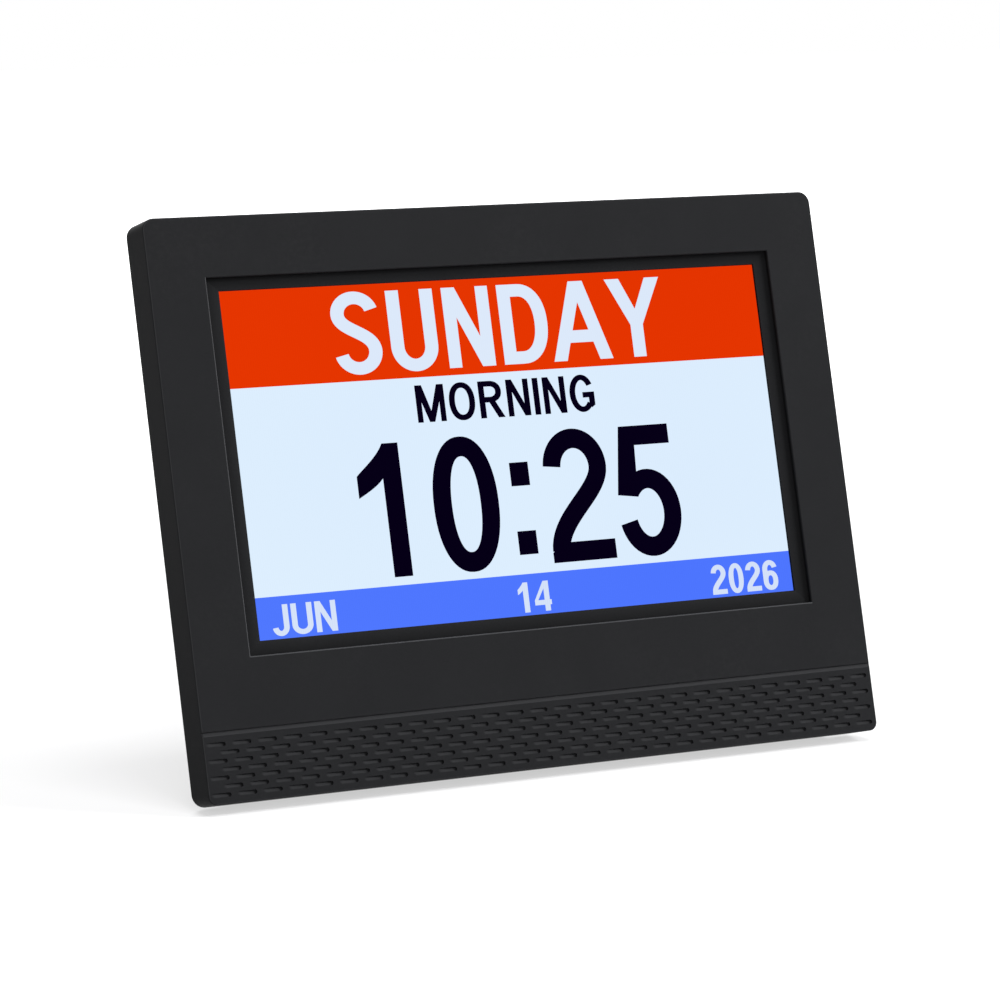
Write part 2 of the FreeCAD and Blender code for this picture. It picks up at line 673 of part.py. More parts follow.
def bracket_screws():
    """Screws of the display clips."""
    length = module_back + BRACKET_THICKNESS - FRONT_WALL - LOOSE_CLEARANCE
    return [pan_screw(x, bracket_screw_height, module_back + BRACKET_THICKNESS, length,
                      SMALL_SCREW_RADIUS, SMALL_HEAD_RADIUS, SMALL_HEAD_HEIGHT, 1)
            for x in both_sides(BRACKET_SPREAD)]


# ------------------------------------------------------------------ rear cover

def tray_outline(y, inset):
    """The tray as seen from the back, at depth y; it runs down past the table."""
    x = tray_half - inset
    corner = TRAY_CORNER
    top = tray_top - inset
    low = -TRAY_INSET
    arc = math.sqrt(0.5) * corner
    return Part.Wire([
        Part.LineSegment(Vector(-x, y, low), Vector(x, y, low)).toShape(),
        Part.LineSegment(Vector(x, y, low), Vector(x, y, top - corner)).toShape(),
        Part.Arc(Vector(x, y, top - corner), Vector(x - corner + arc, y, top - corner + arc),
                 Vector(x - corner, y, top)).toShape(),
        Part.LineSegment(Vector(x - corner, y, top), Vector(-x + corner, y, top)).toShape(),
        Part.Arc(Vector(-x + corner, y, top), Vector(-x + corner - arc, y, top - corner + arc),
                 Vector(-x, y, top - corner)).toShape(),
        Part.LineSegment(Vector(-x, y, top - corner), Vector(-x, y, low)).toShape(),
    ])


def tray_shell():
    """Raised tray of the rear cover: drafted walls, and a sole that lies parallel to the table."""
    tray = Part.makeLoft([tray_outline(flange_plane, 0), tray_outline(CASE_DEPTH, TRAY_DRAFT)], True, True)
    tray = tray.cut(on_table((-FACE_WIDTH, FACE_WIDTH), (-FACE_HEIGHT, FACE_HEIGHT),
                             (-FACE_HEIGHT, FOOT_RISE)))
    back = edges_at(tray, CASE_DEPTH)
    tray = tray.makeFillet(TRAY_ROUND, back)
    inside = plate((-inner_half, inner_half), (flange_plane - 1, tray_inside), (TRAY_FLOOR, inner_top),
                   TRAY_CORNER - COVER_WALL)
    return tray, inside


def pocket():
    """The space of the folded leg, open at the bottom of the cover."""
    top = HINGE_HEIGHT + BARREL_RADIUS + 2 * LOOSE_CLEARANCE
    return block((-pocket_half, pocket_half), (pocket_floor, CASE_DEPTH + 1), (-TRAY_INSET, top))


def pocket_lining():
    """Inner wall around the pocket of the leg."""
    top = HINGE_HEIGHT + BARREL_RADIUS + 2 * LOOSE_CLEARANCE + POCKET_WALL
    cheek = 2 * POCKET_WALL
    return block((-pocket_half - cheek, pocket_half + cheek),
                 (pocket_floor - POCKET_WALL, tray_inside + TOUCH_CLEARANCE),
                 (TRAY_FLOOR - TOUCH_CLEARANCE, top))


def keyhole_cut(x):
    """Keyhole through the back wall: round hole for the screw head and a slot above it."""
    y = (tray_inside - 1, CASE_DEPTH + 1)
    hole = rod_y(x, keyhole_height, y, KEYHOLE_RADIUS)
    slot = stadium(x, 0, KEYHOLE_RISE + KEYHOLE_SLOT, KEYHOLE_SLOT, y)
    slot.rotate(Vector(x, 0, 0), Y_AXIS, 90)
    slot.translate(Vector(0, 0, keyhole_height + KEYHOLE_RISE / 2))
    return hole.fuse(slot)


def keyhole_shroud(x, grow):
    """Box behind a keyhole that keeps the screw away from the inside, grown by its wall."""
    reach = KEYHOLE_RADIUS + SEAT_CLEARANCE + grow
    top = keyhole_height + KEYHOLE_RISE + KEYHOLE_RADIUS + SEAT_CLEARANCE + grow
    return block((x - reach, x + reach),
                 (tray_inside - KEYHOLE_ROOM - grow, tray_inside + TOUCH_CLEARANCE),
                 (keyhole_height - reach, top))


def grille_holes():
    """Round holes in front of the loudspeaker, in a close-packed pattern."""
    reach = SPEAKER_RADIUS - SPEAKER_RIM - 2 * GRILLE_HOLE_RADIUS
    rows = int(reach / (GRILLE_PITCH * math.sqrt(0.75)))
    holes = []
    for row in range(-rows, rows + 1):
        height = row * GRILLE_PITCH * math.sqrt(0.75)
        offset = GRILLE_PITCH / 2 if row % 2 else 0
        columns = int(reach / GRILLE_PITCH) + 1
        for column in range(-columns, columns + 1):
            side = column * GRILLE_PITCH + offset
            if math.hypot(side, height) <= reach:
                holes.append(rod_y(speaker_x + side, SPEAKER_HEIGHT + height,
                                   (tray_inside - 1, CASE_DEPTH + 1), GRILLE_HOLE_RADIUS))
    return holes


def vents():
    """Upright vent slots, one group on each side of the middle."""
    slots = []
    for centre in both_sides(vent_spread):
        for index in range(VENT_COUNT):
            x = centre + (index - (VENT_COUNT - 1) / 2) * VENT_PITCH
            slot = stadium(x, 0, VENT_LENGTH, VENT_WIDTH, (tray_inside - 1, CASE_DEPTH + 1))
            slot.rotate(Vector(x, 0, 0), Y_AXIS, 90)
            slot.translate(Vector(0, 0, vent_height))
            slots.append(slot)
    return slots


def pad_block(x, grow, low, high):
    """A block around one pad, squared to the table."""
    middle = (SHELL_DEPTH + CASE_DEPTH) / 2 * math.cos(lean)
    return on_table((x - PAD_WIDTH / 2 - grow, x + PAD_WIDTH / 2 + grow),
                    (middle - PAD_LENGTH / 2 - grow, middle + PAD_LENGTH / 2 + grow), (low, high))


def rear_cover():
    """Rear cover: flange in the back of the front shell, tray, pocket, bosses and all openings."""
    edge = SHELL_WALL + SEAT_CLEARANCE
    flange = plate((-half_face + edge, half_face - edge), (flange_plane, SHELL_DEPTH),
                   (edge, FACE_HEIGHT - edge), CORNER_RADIUS / 2)
    tray, inside = tray_shell()
    below_flange = block((-FACE_WIDTH, FACE_WIDTH), (-1, SHELL_DEPTH + RIM_CLEARANCE), (-TRAY_INSET, edge))
    cover = flange.fuse(tray.cut(below_flange)).cut(inside)
    seats = [pocket_lining()]
    seats += [keyhole_shroud(x, SHROUD_WALL) for x in both_sides(KEYHOLE_SPREAD)]
    seats += [rod_y(x, z, (board_back, tray_inside + TOUCH_CLEARANCE), BOSS_RADIUS) for x, z in board_holes]
    seats += [rod_y(x, z, (key_board_back, tray_inside + TOUCH_CLEARANCE), SMALL_BOSS_RADIUS)
              for x, z in key_board_holes]
    seats += [rod_y(x, z, (tray_inside - FOAM_THICKNESS, tray_inside + TOUCH_CLEARANCE), BOSS_RADIUS)
              for x, z in speaker_holes]
    cover = cover.multiFuse(seats).removeSplitter()
    cuts = [pocket()] + module_hooks(HOLE_CLEARANCE)
    cuts += [keyhole_shroud(x, 0) for x in both_sides(KEYHOLE_SPREAD)]
    cuts += [keyhole_cut(x) for x in both_sides(KEYHOLE_SPREAD)]
    cuts += [rod_y(x, z, (board_back - 1, tray_inside), SCREW_RADIUS + THREAD_CLEARANCE)
             for x, z in board_holes]
    cuts += [rod_y(x, z, (key_board_back - 1, tray_inside), SMALL_SCREW_RADIUS + THREAD_CLEARANCE)
             for x, z in key_board_holes]
    cuts += [rod_y(x, z, (tray_inside - FOAM_THICKNESS - 1, tray_inside + COVER_WALL / 2),
                   SMALL_SCREW_RADIUS + THREAD_CLEARANCE) for x, z in speaker_holes]
    cuts += [stadium(x, key_height, KEY_WIDTH + 2 * SLIDE_CLEARANCE, KEY_HEIGHT + 2 * SLIDE_CLEARANCE,
                     (tray_inside - 1, CASE_DEPTH + 1)) for x in key_places]
    cuts += [pad_block(x, RIM_CLEARANCE, -1, PAD_THICKNESS) for x in both_sides(pad_spread)]
    cuts.append(rod(Vector(inner_half - 1, jack_middle, JACK_HEIGHT), X_AXIS, half_face - inner_half,
                    JACK_PORT_RADIUS))
    pin_reach = pocket_half + 2 * POCKET_WALL + 1
    cuts.append(rod(Vector(-pin_reach, hinge_plane, HINGE_HEIGHT), X_AXIS, 2 * pin_reach,
                    HINGE_PIN_RADIUS + TOUCH_CLEARANCE / 2))
    for x, z in cover_screw_places:
        cuts.append(rod_y(x, z, (flange_plane - 1, SHELL_DEPTH + 1), SCREW_RADIUS + HOLE_CLEARANCE))
        cuts.append(rod_y(x, z, (SHELL_DEPTH - FLANGE_THICKNESS / 2, CASE_DEPTH),
                          SCREW_HEAD_RADIUS + HOLE_CLEARANCE))
    return cover.cut(cuts + vents() + grille_holes())


def cover_screws():
    """Screws that hold the rear cover to the bosses of the front shell."""
    return [pan_screw(x, z, SHELL_DEPTH - FLANGE_THICKNESS / 2, COVER_SCREW_LENGTH, SCREW_RADIUS,
                      SCREW_HEAD_RADIUS, SCREW_HEAD_HEIGHT, 1) for x, z in cover_screw_places]


def foot_pads():
    """Rubber pads in the sole of the tray."""
    return [pad_block(x, 0, 0, PAD_THICKNESS) for x in both_sides(pad_spread)]


# ------------------------------------------------------------------ easel leg

def opened(shape):
    """Turn a piece of the folded leg to where it stands when the leg is open."""
    shape.rotate(Vector(0, hinge_plane, HINGE_HEIGHT), X_AXIS, LEG_OPENING)
    return shape


def leg_outline(inset, y, low):
    """Tapered outline of the leg, set in by a margin, between two depths."""
    top_half = LEG_WIDTH / 2 - inset
    tip_half = LEG_TIP_WIDTH / 2 - inset
    top = HINGE_HEIGHT - BARREL_RADIUS - inset
    points = [(-tip_half, low), (tip_half, low), (top_half, top), (-top_half, top)]
    wire = Part.makePolygon([Vector(x, y[0], z) for x, z in points + points[:1]])
    return Part.Face(wire).extrude(Vector(0, y[1] - y[0], 0))


def stand_leg():
    """Easel leg with its hinge barrel, a heel that stops it, and a recessed panel."""
    y = (hinge_plane - LEG_THICKNESS / 2, hinge_plane + LEG_THICKNESS / 2)
    half = LEG_WIDTH / 2
    reach = HINGE_HEIGHT + HINGE_HEIGHT / 4
    blade = leg_outline(0, y, HINGE_HEIGHT - reach)
    barrel = rod(Vector(-half, hinge_plane, HINGE_HEIGHT), X_AXIS, LEG_WIDTH, BARREL_RADIUS)
    opening = math.radians(LEG_OPENING)
    stop = hinge_plane - pocket_floor - HEEL_TRIM
    heel_top = (stop - LEG_THICKNESS / 2 * math.cos(opening)) / math.sin(opening)
    neck = block((-half, half), y, (HINGE_HEIGHT - BARREL_RADIUS - TOUCH_CLEARANCE, HINGE_HEIGHT + heel_top))
    panel = leg_outline(LEG_FRAME, (y[1] - LEG_PANEL_DEPTH, y[1] + 1), LEG_FRAME + FOOT_THICKNESS)
    spine = block((-LEG_FRAME / 2, LEG_FRAME / 2), y, (0, HINGE_HEIGHT - BARREL_RADIUS))
    leg = joined([blade, barrel, neck]).cut(panel.cut(spine))
    for side in (-1, 1):
        bore = rod(Vector(side * (half + 1), hinge_plane, HINGE_HEIGHT), X_AXIS * -side,
                   1 + HINGE_PIN_GRIP + HINGE_BORE_SPARE, HINGE_PIN_RADIUS + PIN_CLEARANCE)
        leg = leg.cut(bore)
    below_foot = on_table((-FACE_WIDTH, FACE_WIDTH), (-FACE_HEIGHT, 2 * FACE_HEIGHT),
                          (-FACE_HEIGHT, FOOT_THICKNESS))
    return opened(leg).cut(below_foot)


def stand_foot():
    """Rubber sole on the end of the leg, flat on the table while the leg is open."""
    margin = LEG_THICKNESS / 10
    y = (hinge_plane - LEG_THICKNESS / 2 + margin, hinge_plane + LEG_THICKNESS / 2 - margin)
    half = LEG_TIP_WIDTH / 2 - 4 * margin
    sole = opened(block((-half, half), y, (-HINGE_HEIGHT / 4, HINGE_HEIGHT / 2)))
    return sole.common(on_table((-FACE_WIDTH, FACE_WIDTH), (-FACE_HEIGHT, 2 * FACE_HEIGHT),
                                (0, FOOT_THICKNESS)))


def hinge_pins():
    """Two steel pins that carry the leg in the cheeks of the pocket."""
    outside = pocket_half + 2 * POCKET_WALL
    inside = LEG_WIDTH / 2 - HINGE_PIN_GRIP
    return [rod(Vector(side * inside, hinge_plane, HINGE_HEIGHT), X_AXIS * side, outside - inside,
                HINGE_PIN_RADIUS) for side in (-1, 1)]


def friction_washers():
    """Washers between the leg and the cheeks of its pocket; they keep a folded leg in place."""
    washers = []
    for side in (-1, 1):
        start = Vector(side * (LEG_WIDTH / 2 + TOUCH_CLEARANCE), hinge_plane, HINGE_HEIGHT)
        ring = rod(start, X_AXIS * side, WASHER_THICKNESS, WASHER_RADIUS)
        hole = rod(start, X_AXIS * side, WASHER_THICKNESS, HINGE_PIN_RADIUS + PIN_CLEARANCE)
        washers.append(ring.cut(hole))
    return washers


# ------------------------------------------------------------------ keys

def key(x):
    """Push button with the flange that keeps it in the cover."""
    flange = stadium(x, key_height, KEY_WIDTH + 2 * KEY_LIP, KEY_HEIGHT + 2 * KEY_LIP,
                     (key_flange_front, key_flange_front + KEY_FLANGE))
    cap = stadium(x, key_height, KEY_WIDTH, KEY_HEIGHT, (key_flange_front, CASE_DEPTH + KEY_PROUD))
    cap = cap.makeFillet(KEY_PROUD / 2, edges_at(cap, CASE_DEPTH + KEY_PROUD))
    return joined([flange, cap])


def key_plunger(x):
    """Plunger of a tact switch; it moves with the button in front of it."""
    return rod_y(x, key_height, (switch_front - KEY_TRAVEL, key_flange_front - TOUCH_CLEARANCE),
                 PLUNGER_RADIUS)


def tact_switches():
    """Cases of the tact switches behind the buttons."""
    cases = []
    half = SWITCH_SIZE / 2
    for x in key_places:
        case = block((x - half, x + half), (key_board_back, switch_front),
                     (key_height - half, key_height + half))
        well = rod_y(x, key_height, (switch_front - 2 * KEY_TRAVEL - RIM_CLEARANCE, switch_front + 1),
                     PLUNGER_RADIUS + PIN_CLEARANCE)
        cases.append(case.cut(well))
    return cases


def key_board():
    """Narrow circuit board that carries the tact switches."""
    front = key_board_back - BOARD_THICKNESS
    board = block((-key_board_half, key_board_half), (front, key_board_back),
                  (key_height - KEY_BOARD_HEIGHT / 2, key_height + KEY_BOARD_HEIGHT / 2))
    holes = [rod_y(x, z, (front - 1, key_board_back + 1), SMALL_SCREW_RADIUS + HOLE_CLEARANCE)
             for x, z in key_board_holes]
    return board.cut(holes)


def key_board_screws():
    """Screws of the key board."""
    length = BOARD_THICKNESS + (tray_inside - key_board_back) - LOOSE_CLEARANCE
    return [pan_screw(x, z, key_board_back - BOARD_THICKNESS, length, SMALL_SCREW_RADIUS,
                      SMALL_HEAD_RADIUS, SMALL_HEAD_HEIGHT, -1) for x, z in key_board_holes]


# ------------------------------------------------------------------ main board

def main_board():
    """Main circuit board on the bosses of the rear cover."""
    board = block((board_left, board_left + BOARD_WIDTH), (board_front, board_back),
                  (BOARD_BOTTOM, BOARD_BOTTOM + BOARD_HEIGHT))
    return board.cut([rod_y(x, z, (board_front - 1, board_back + 1), SCREW_RADIUS + HOLE_CLEARANCE)
                      for x, z in board_holes])


def board_screws():
    """Screws of the main board."""
    length = BOARD_THICKNESS + BOARD_STANDOFF - LOOSE_CLEARANCE
    return [pan_screw(x, z, board_front, length, SCREW_RADIUS, SCREW_HEAD_RADIUS, SCREW_HEAD_HEIGHT, -1)
            for x, z in board_holes]


def chip(place, length, width, leads_all_round):
    """A flat chip on the back of the main board, with its leads above and below or all round."""
    x, z = on_board(place)
    foot = CHIP_HEIGHT / 3
    body = block((x - length / 2, x + length / 2), (board_back + foot / 2, board_back + CHIP_HEIGHT),
                 (z - width / 2, z + width / 2))
    rows = [block((x - length / 2 + CHIP_LEAD, x + length / 2 - CHIP_LEAD), (board_back, board_back + foot),
                  (z - width / 2 - CHIP_LEAD, z + width / 2 + CHIP_LEAD))]
    if leads_all_round:
        rows.append(block((x - length / 2 - CHIP_LEAD, x + length / 2 + CHIP_LEAD),
                          (board_back, board_back + foot),
                          (z - width / 2 + CHIP_LEAD, z + width / 2 - CHIP_LEAD)))
    return joined([body] + rows)


def processor_chip():
    """Processor that draws the calendar."""
    return chip(PROCESSOR_PLACE, PROCESSOR_SIZE, PROCESSOR_SIZE, True)


def memory_chip():
    """Memory beside the processor."""
    return chip(MEMORY_PLACE, MEMORY_LENGTH, MEMORY_WIDTH, False)


def power_chips():
    """Voltage regulator and audio amplifier."""
    return [chip(place, POWER_CHIP_LENGTH, POWER_CHIP_WIDTH, False)
            for place in (REGULATOR_PLACE, AMPLIFIER_PLACE)]


def inductor():
    """Choke of the voltage regulator."""
    x, z = on_board(INDUCTOR_PLACE)
    half = INDUCTOR_SIZE / 2
    return plate((x - half, x + half), (board_back, board_back + INDUCTOR_HEIGHT), (z - half, z + half),
                 INDUCTOR_CORNER)


def capacitors():
    """Electrolytic capacitors of the supply."""
    return [rod_y(*on_board(place), (board_back, board_back + CAPACITOR_HEIGHT), CAPACITOR_RADIUS)
            for place in CAPACITOR_PLACES]


def crystal():
    """Watch crystal that keeps the time."""
    return stadium(*on_board(CRYSTAL_PLACE), CRYSTAL_LENGTH, CRYSTAL_WIDTH,
                   (board_back, board_back + CRYSTAL_HEIGHT))


def coin_cell_holder():
    """Holder of the cell that keeps the time through a power cut."""
    x, z = on_board(CELL_PLACE)
    top = board_back + HOLDER_BASE + CELL_THICKNESS
    body = rod_y(x, z, (board_back, top), CELL_RADIUS + HOLDER_WALL)
    seat = rod_y(x, z, (board_back + HOLDER_BASE, top + 1), CELL_RADIUS + SLIDE_CLEARANCE)
    gap = block((x - CELL_RADIUS / 2, x + CELL_RADIUS / 2), (board_back + HOLDER_BASE, top + 1),
                (z, z + 2 * CELL_RADIUS))
    return body.cut([seat, gap])


def coin_cell():
    """Backup cell, 20 mm across."""
    front = board_back + HOLDER_BASE
    return rod_y(*on_board(CELL_PLACE), (front, front + CELL_THICKNESS), CELL_RADIUS)


def dc_jack():
    """Power inlet on the edge of the main board, facing right."""
    half = JACK_SIZE / 2
    body = block((jack_mouth - JACK_LENGTH, jack_mouth), (board_back, board_back + JACK_SIZE),
                 (JACK_HEIGHT - half, JACK_HEIGHT + half))
    bore = rod(Vector(jack_floor, jack_middle, JACK_HEIGHT), X_AXIS, JACK_BORE_DEPTH + 1, JACK_BORE_RADIUS)
    hole = rod(Vector(jack_floor, jack_middle, JACK_HEIGHT), -X_AXIS, JACK_PIN_ROOT, JACK_PIN_ROOT_RADIUS)
    return body.cut([bore, hole])


def dc_jack_pin():
    """Centre pin of the power inlet."""
    length = JACK_BORE_DEPTH - JACK_PIN_SETBACK
    pin = rod(Vector(jack_floor, jack_middle, JACK_HEIGHT), X_AXIS, length, JACK_PIN_RADIUS)
    tip = [edge for edge in pin.Edges if abs(edge.BoundBox.XMin - jack_floor - length) < 1e-4]
    root = rod(Vector(jack_floor, jack_middle, JACK_HEIGHT), -X_AXIS, JACK_PIN_ROOT, JACK_PIN_ROOT_RADIUS)
    return pin.makeChamfer(JACK_PIN_RADIUS / 4, tip).fuse(root).removeSplitter()


def lcd_connector():
    """Flat-cable connector on the front of the main board."""
    low = ffc_bend_height + FFC_CONNECTOR_LENGTH
    top = low + FFC_CONNECTOR_LENGTH
    body = block((ffc_x - FFC_CONNECTOR_WIDTH / 2, ffc_x + FFC_CONNECTOR_WIDTH / 2),
                 (board_front - FFC_CONNECTOR_HEIGHT, board_front), (low, top))
    half = FFC_WIDTH / 2 + RIM_CLEARANCE
    slot = block((ffc_x - half, ffc_x + half), (ffc_far - FFC_THICKNESS, ffc_far + FFC_THICKNESS),
                 (low - 1, top - FFC_CONNECTOR_BACK))
    return body.cut(slot)


def lcd_flat_cable():
    """Flat cable from the back of the display module round to the main board."""
    near = module_back + TOUCH_CLEARANCE + FFC_THICKNESS / 2
    bend = (ffc_far - near) / 2
    x = (ffc_x - FFC_WIDTH / 2, ffc_x + FFC_WIDTH / 2)
    half = FFC_THICKNESS / 2
    lower = block(x, (near - half, near + half), (ffc_bend_height, ffc_bend_height + FFC_TAIL))
    upper = block(x, (ffc_far - half, ffc_far + half),
                  (ffc_bend_height, ffc_bend_height + FFC_CONNECTOR_LENGTH + FFC_GRIP))
    centre = Vector(x[0], (near + ffc_far) / 2, ffc_bend_height)
    ring = rod(centre, X_AXIS, FFC_WIDTH, bend + half).cut(rod(centre, X_AXIS, FFC_WIDTH, bend - half))
    turn = ring.common(block(x, (near - FFC_WIDTH, ffc_far + FFC_WIDTH),
                             (ffc_bend_height - FFC_WIDTH, ffc_bend_height)))
    return joined([lower, turn, upper])


def wire_headers():
    """Plug headers on the front of the main board, for the loudspeaker and the key board."""
    half = HEADER_LENGTH / 2
    return [block((x - half, x + half), (board_front - HEADER_HEIGHT, board_front), (z - half, z + half))
            for x, z in (speaker_header, key_header)]


def key_cable():
    """Flat cable between the key board and the main board."""
    x, header_z = key_header
    start_x = key_boss_x - 2 * SMALL_BOSS_RADIUS
    y = board_front - HEADER_HEIGHT / 2
    board_face = key_board_back - BOARD_THICKNESS
    turn_high = key_height - KEY_CABLE_WIDTH / 2
    turn_low = key_height - KEY_CABLE_WIDTH
    upper = block((start_x - KEY_CABLE_WIDTH, start_x), (board_face - KEY_CABLE_THICKNESS, board_face),
                  (turn_low, key_height))
    across = block((start_x - KEY_CABLE_WIDTH, x + KEY_CABLE_WIDTH / 2), (y, board_face),
                   (turn_low, turn_high))
    lower = block((x - KEY_CABLE_WIDTH / 2, x + KEY_CABLE_WIDTH / 2), (y, y + KEY_CABLE_THICKNESS),
                  (header_z + HEADER_LENGTH / 2, turn_high))
    return joined([upper, across, lower])


# ------------------------------------------------------------------ loudspeaker

def speaker_foam():
    """Foam ring between the loudspeaker and the cover."""
    y = (speaker_back, tray_inside)
    ring = rod_y(speaker_x, SPEAKER_HEIGHT, y, SPEAKER_RADIUS - HOLE_CLEARANCE)
    return ring.cut(rod_y(speaker_x, SPEAKER_HEIGHT, y, SPEAKER_RADIUS - SPEAKER_RIM))


def speaker_frame():
    """Pressed basket of the loudspeaker with its two ears and a terminal tab."""
    rim = SPEAKER_RADIUS - SPEAKER_RIM
    sheet_front = speaker_back - SPEAKER_SHEET
    profile = [(SPEAKER_RADIUS, speaker_back), (SPEAKER_RADIUS, sheet_front), (rim, sheet_front),
               (MAGNET_RADIUS, speaker_front), (SPEAKER_THROAT, speaker_front),
               (SPEAKER_THROAT, speaker_front + SPEAKER_SHEET),
               (MAGNET_RADIUS - SPEAKER_SHEET, speaker_front + SPEAKER_SHEET),
               (rim - SPEAKER_SHEET, speaker_back)]
    basket = revolved(profile, speaker_x, SPEAKER_HEIGHT)
    ears = stadium(speaker_x, SPEAKER_HEIGHT, 2 * SPEAKER_EAR_REACH + SPEAKER_EAR_HEIGHT,
                   SPEAKER_EAR_HEIGHT, (sheet_front, speaker_back))
    ears = ears.cut(rod_y(speaker_x, SPEAKER_HEIGHT, (sheet_front - 1, speaker_back + 1), rim))
    tab = block((speaker_x + MAGNET_RADIUS, speaker_x + SPEAKER_RADIUS),
                (speaker_front, speaker_front + SPEAKER_SHEET),
                (SPEAKER_HEIGHT - SPEAKER_EAR_HEIGHT / 2, SPEAKER_HEIGHT + SPEAKER_EAR_HEIGHT / 2))
    holes = [rod_y(x, z, (sheet_front - 1, speaker_back + 1), SMALL_SCREW_RADIUS + HOLE_CLEARANCE)
             for x, z in speaker_holes]
    return joined([basket, ears, tab]).cut(holes)


def speaker_cone():
    """Paper cone with its dust cap, seated on the rim of the basket."""
    rim = SPEAKER_RADIUS - SPEAKER_RIM - SPEAKER_SHEET - 2 * CONE_PAPER
    throat = speaker_front + SPEAKER_SHEET + LOOSE_CLEARANCE
    coil = MAGNET_RADIUS / 2
    dome = coil / 4
    profile = [(0, throat + dome), (coil, throat), (rim, speaker_back - CONE_PAPER),
               (rim, speaker_back), (rim - CONE_PAPER, speaker_back),
               (coil, throat + CONE_PAPER), (0, throat + dome + CONE_PAPER)]
    return revolved(profile, speaker_x, SPEAKER_HEIGHT)


def speaker_magnet():
    """Magnet on the back of the basket."""
    return rod_y(speaker_x, SPEAKER_HEIGHT, (speaker_front - MAGNET_HEIGHT, speaker_front),
                 MAGNET_RADIUS - HOLE_CLEARANCE)


def speaker_screws():
    """Screws through the ears of the loudspeaker."""
    length = SPEAKER_SHEET + FOAM_THICKNESS + COVER_WALL / 2 - HOLE_CLEARANCE
    return [pan_screw(x, z, speaker_back - SPEAKER_SHEET, length, SMALL_SCREW_RADIUS,
                      SMALL_HEAD_RADIUS, SMALL_HEAD_HEIGHT, -1) for x, z in speaker_holes]


def speaker_wires():
    """Two wires from the loudspeaker's terminals to their header."""
    wires = []
    start_x = speaker_x + SPEAKER_RADIUS - SPEAKER_TAB_OVERHANG
    end_x = speaker_header[0] - HEADER_LENGTH / 2
    near = speaker_front - WIRE_RADIUS
    far = board_front - HEADER_HEIGHT / 2
    span = end_x - start_x
    for shift in both_sides(2 * WIRE_RADIUS):
        z0 = SPEAKER_HEIGHT + shift
        z1 = speaker_header[1] + shift
        wires.append(tube([Vector(start_x, near, z0), Vector(start_x + span / 5, near, z0),
                           Vector(start_x + span / 5 * 2, far, z0 + (z1 - z0) / 3),
                           Vector(start_x + span / 5 * 3.5, far, z1), Vector(end_x, far, z1)],
                          WIRE_RADIUS))
    return wires


# ------------------------------------------------------------------ the whole clock

def all_pieces():
    """Every sub-part by name, in the clock's own frame; groups are lists of separate solids."""
    pieces = {
        "front_bezel": front_bezel(), "window_gasket": window_gasket(), "lcd_glass": lcd_glass(),
        "backlight_tray": backlight_tray(), "diffuser_sheet": diffuser_sheet(), "light_guide": light_guide(),
        "reflector_sheet": reflector_sheet(), "led_bar": led_bar(), "lcd_brackets": lcd_brackets(),
        "bracket_screws": bracket_screws(), "rear_cover": rear_cover(), "cover_screws": cover_screws(),
        "foot_pads": foot_pads(), "stand_leg": stand_leg(), "stand_foot": stand_foot(),
        "hinge_pins": hinge_pins(), "friction_washers": friction_washers(),
        "tact_switches": tact_switches(), "key_board": key_board(), "key_board_screws": key_board_screws(),
        "main_board": main_board(), "board_screws": board_screws(), "processor_chip": processor_chip(),
        "memory_chip": memory_chip(), "power_chips": power_chips(), "inductor": inductor(),
        "capacitors": capacitors(), "crystal": crystal(), "coin_cell_holder": coin_cell_holder(),
        "coin_cell": coin_cell(), "dc_jack": dc_jack(), "dc_jack_pin": dc_jack_pin(),
        "lcd_connector": lcd_connector(), "lcd_flat_cable": lcd_flat_cable(), "wire_headers": wire_headers(),
        "key_cable": key_cable(), "speaker_foam": speaker_foam(), "speaker_frame": speaker_frame(),
        "speaker_cone": speaker_cone(), "speaker_magnet": speaker_magnet(),
        "speaker_screws": speaker_screws(), "speaker_wires": speaker_wires(),
    }
    for name, x in zip(KEY_NAMES, key_places):
        pieces[name + "_button"] = key(x)
        pieces[name + "_plunger"] = key_plunger(x)
    return pieces


def origin_shift(shapes):
    """Move that brings the middle of the footprint to the origin, on the table."""
    box = Part.makeCompound(shapes).optimalBoundingBox(False, False)
    return Vector(-(box.XMin + box.XMax) / 2, -(box.YMin + box.YMax) / 2, -table_level)


def main():
    """Build every piece, lean the clock back, set it on the table and write the STEP files."""
    os.makedirs("parts", exist_ok=True)
    pieces = all_pieces()
    shapes = {}
    for name, piece in pieces.items():
        shape = Part.makeCompound(piece) if isinstance(piece, list) else piece
        shape.rotate(Vector(0, 0, 0), X_AXIS, -LEAN)
        shapes[name] = shape
    shift = origin_shift(list(shapes.values()))
    for name, shape in shapes.items():
        shape.translate(shift)
        shape.exportStep("parts/" + name + ".step")
    landmarks = {"hinge": (0, hinge_plane, HINGE_HEIGHT), "key": (0, CASE_DEPTH + KEY_PROUD, key_height),
                 "keyhole": (KEYHOLE_SPREAD, CASE_DEPTH, keyhole_height),
                 "jack": (jack_mouth - JACK_PIN_SETBACK, jack_middle, JACK_HEIGHT)}
    for name, place in landmarks.items():
        point = FreeCAD.Rotation(X_AXIS, -LEAN).multVec(Vector(*place)) + shift
        print(name, round(point.x, 4), round(point.y, 4), round(point.z, 4))


main()
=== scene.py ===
"""Looks of a day clock with a seven inch colour display that stands on a table and leans back.

The CAD model gives every solid piece. This script dresses each of them in its own finish and adds
the picture on the display, the printed marks on the keys and the grip ribs of the leg. It also
sets up the floor, the lamps and the camera. Sizes of the clock are in millimetres in the upright
clock, and those of the studio are in metres.
"""

import json
import logging
import math
from dataclasses import dataclass
from enum import Enum, IntEnum
from typing import Callable, Iterable, Optional, Sequence, Union

import bmesh
import bpy
from mathutils import Matrix, Vector
from mathutils.geometry import delaunay_2d_cdt


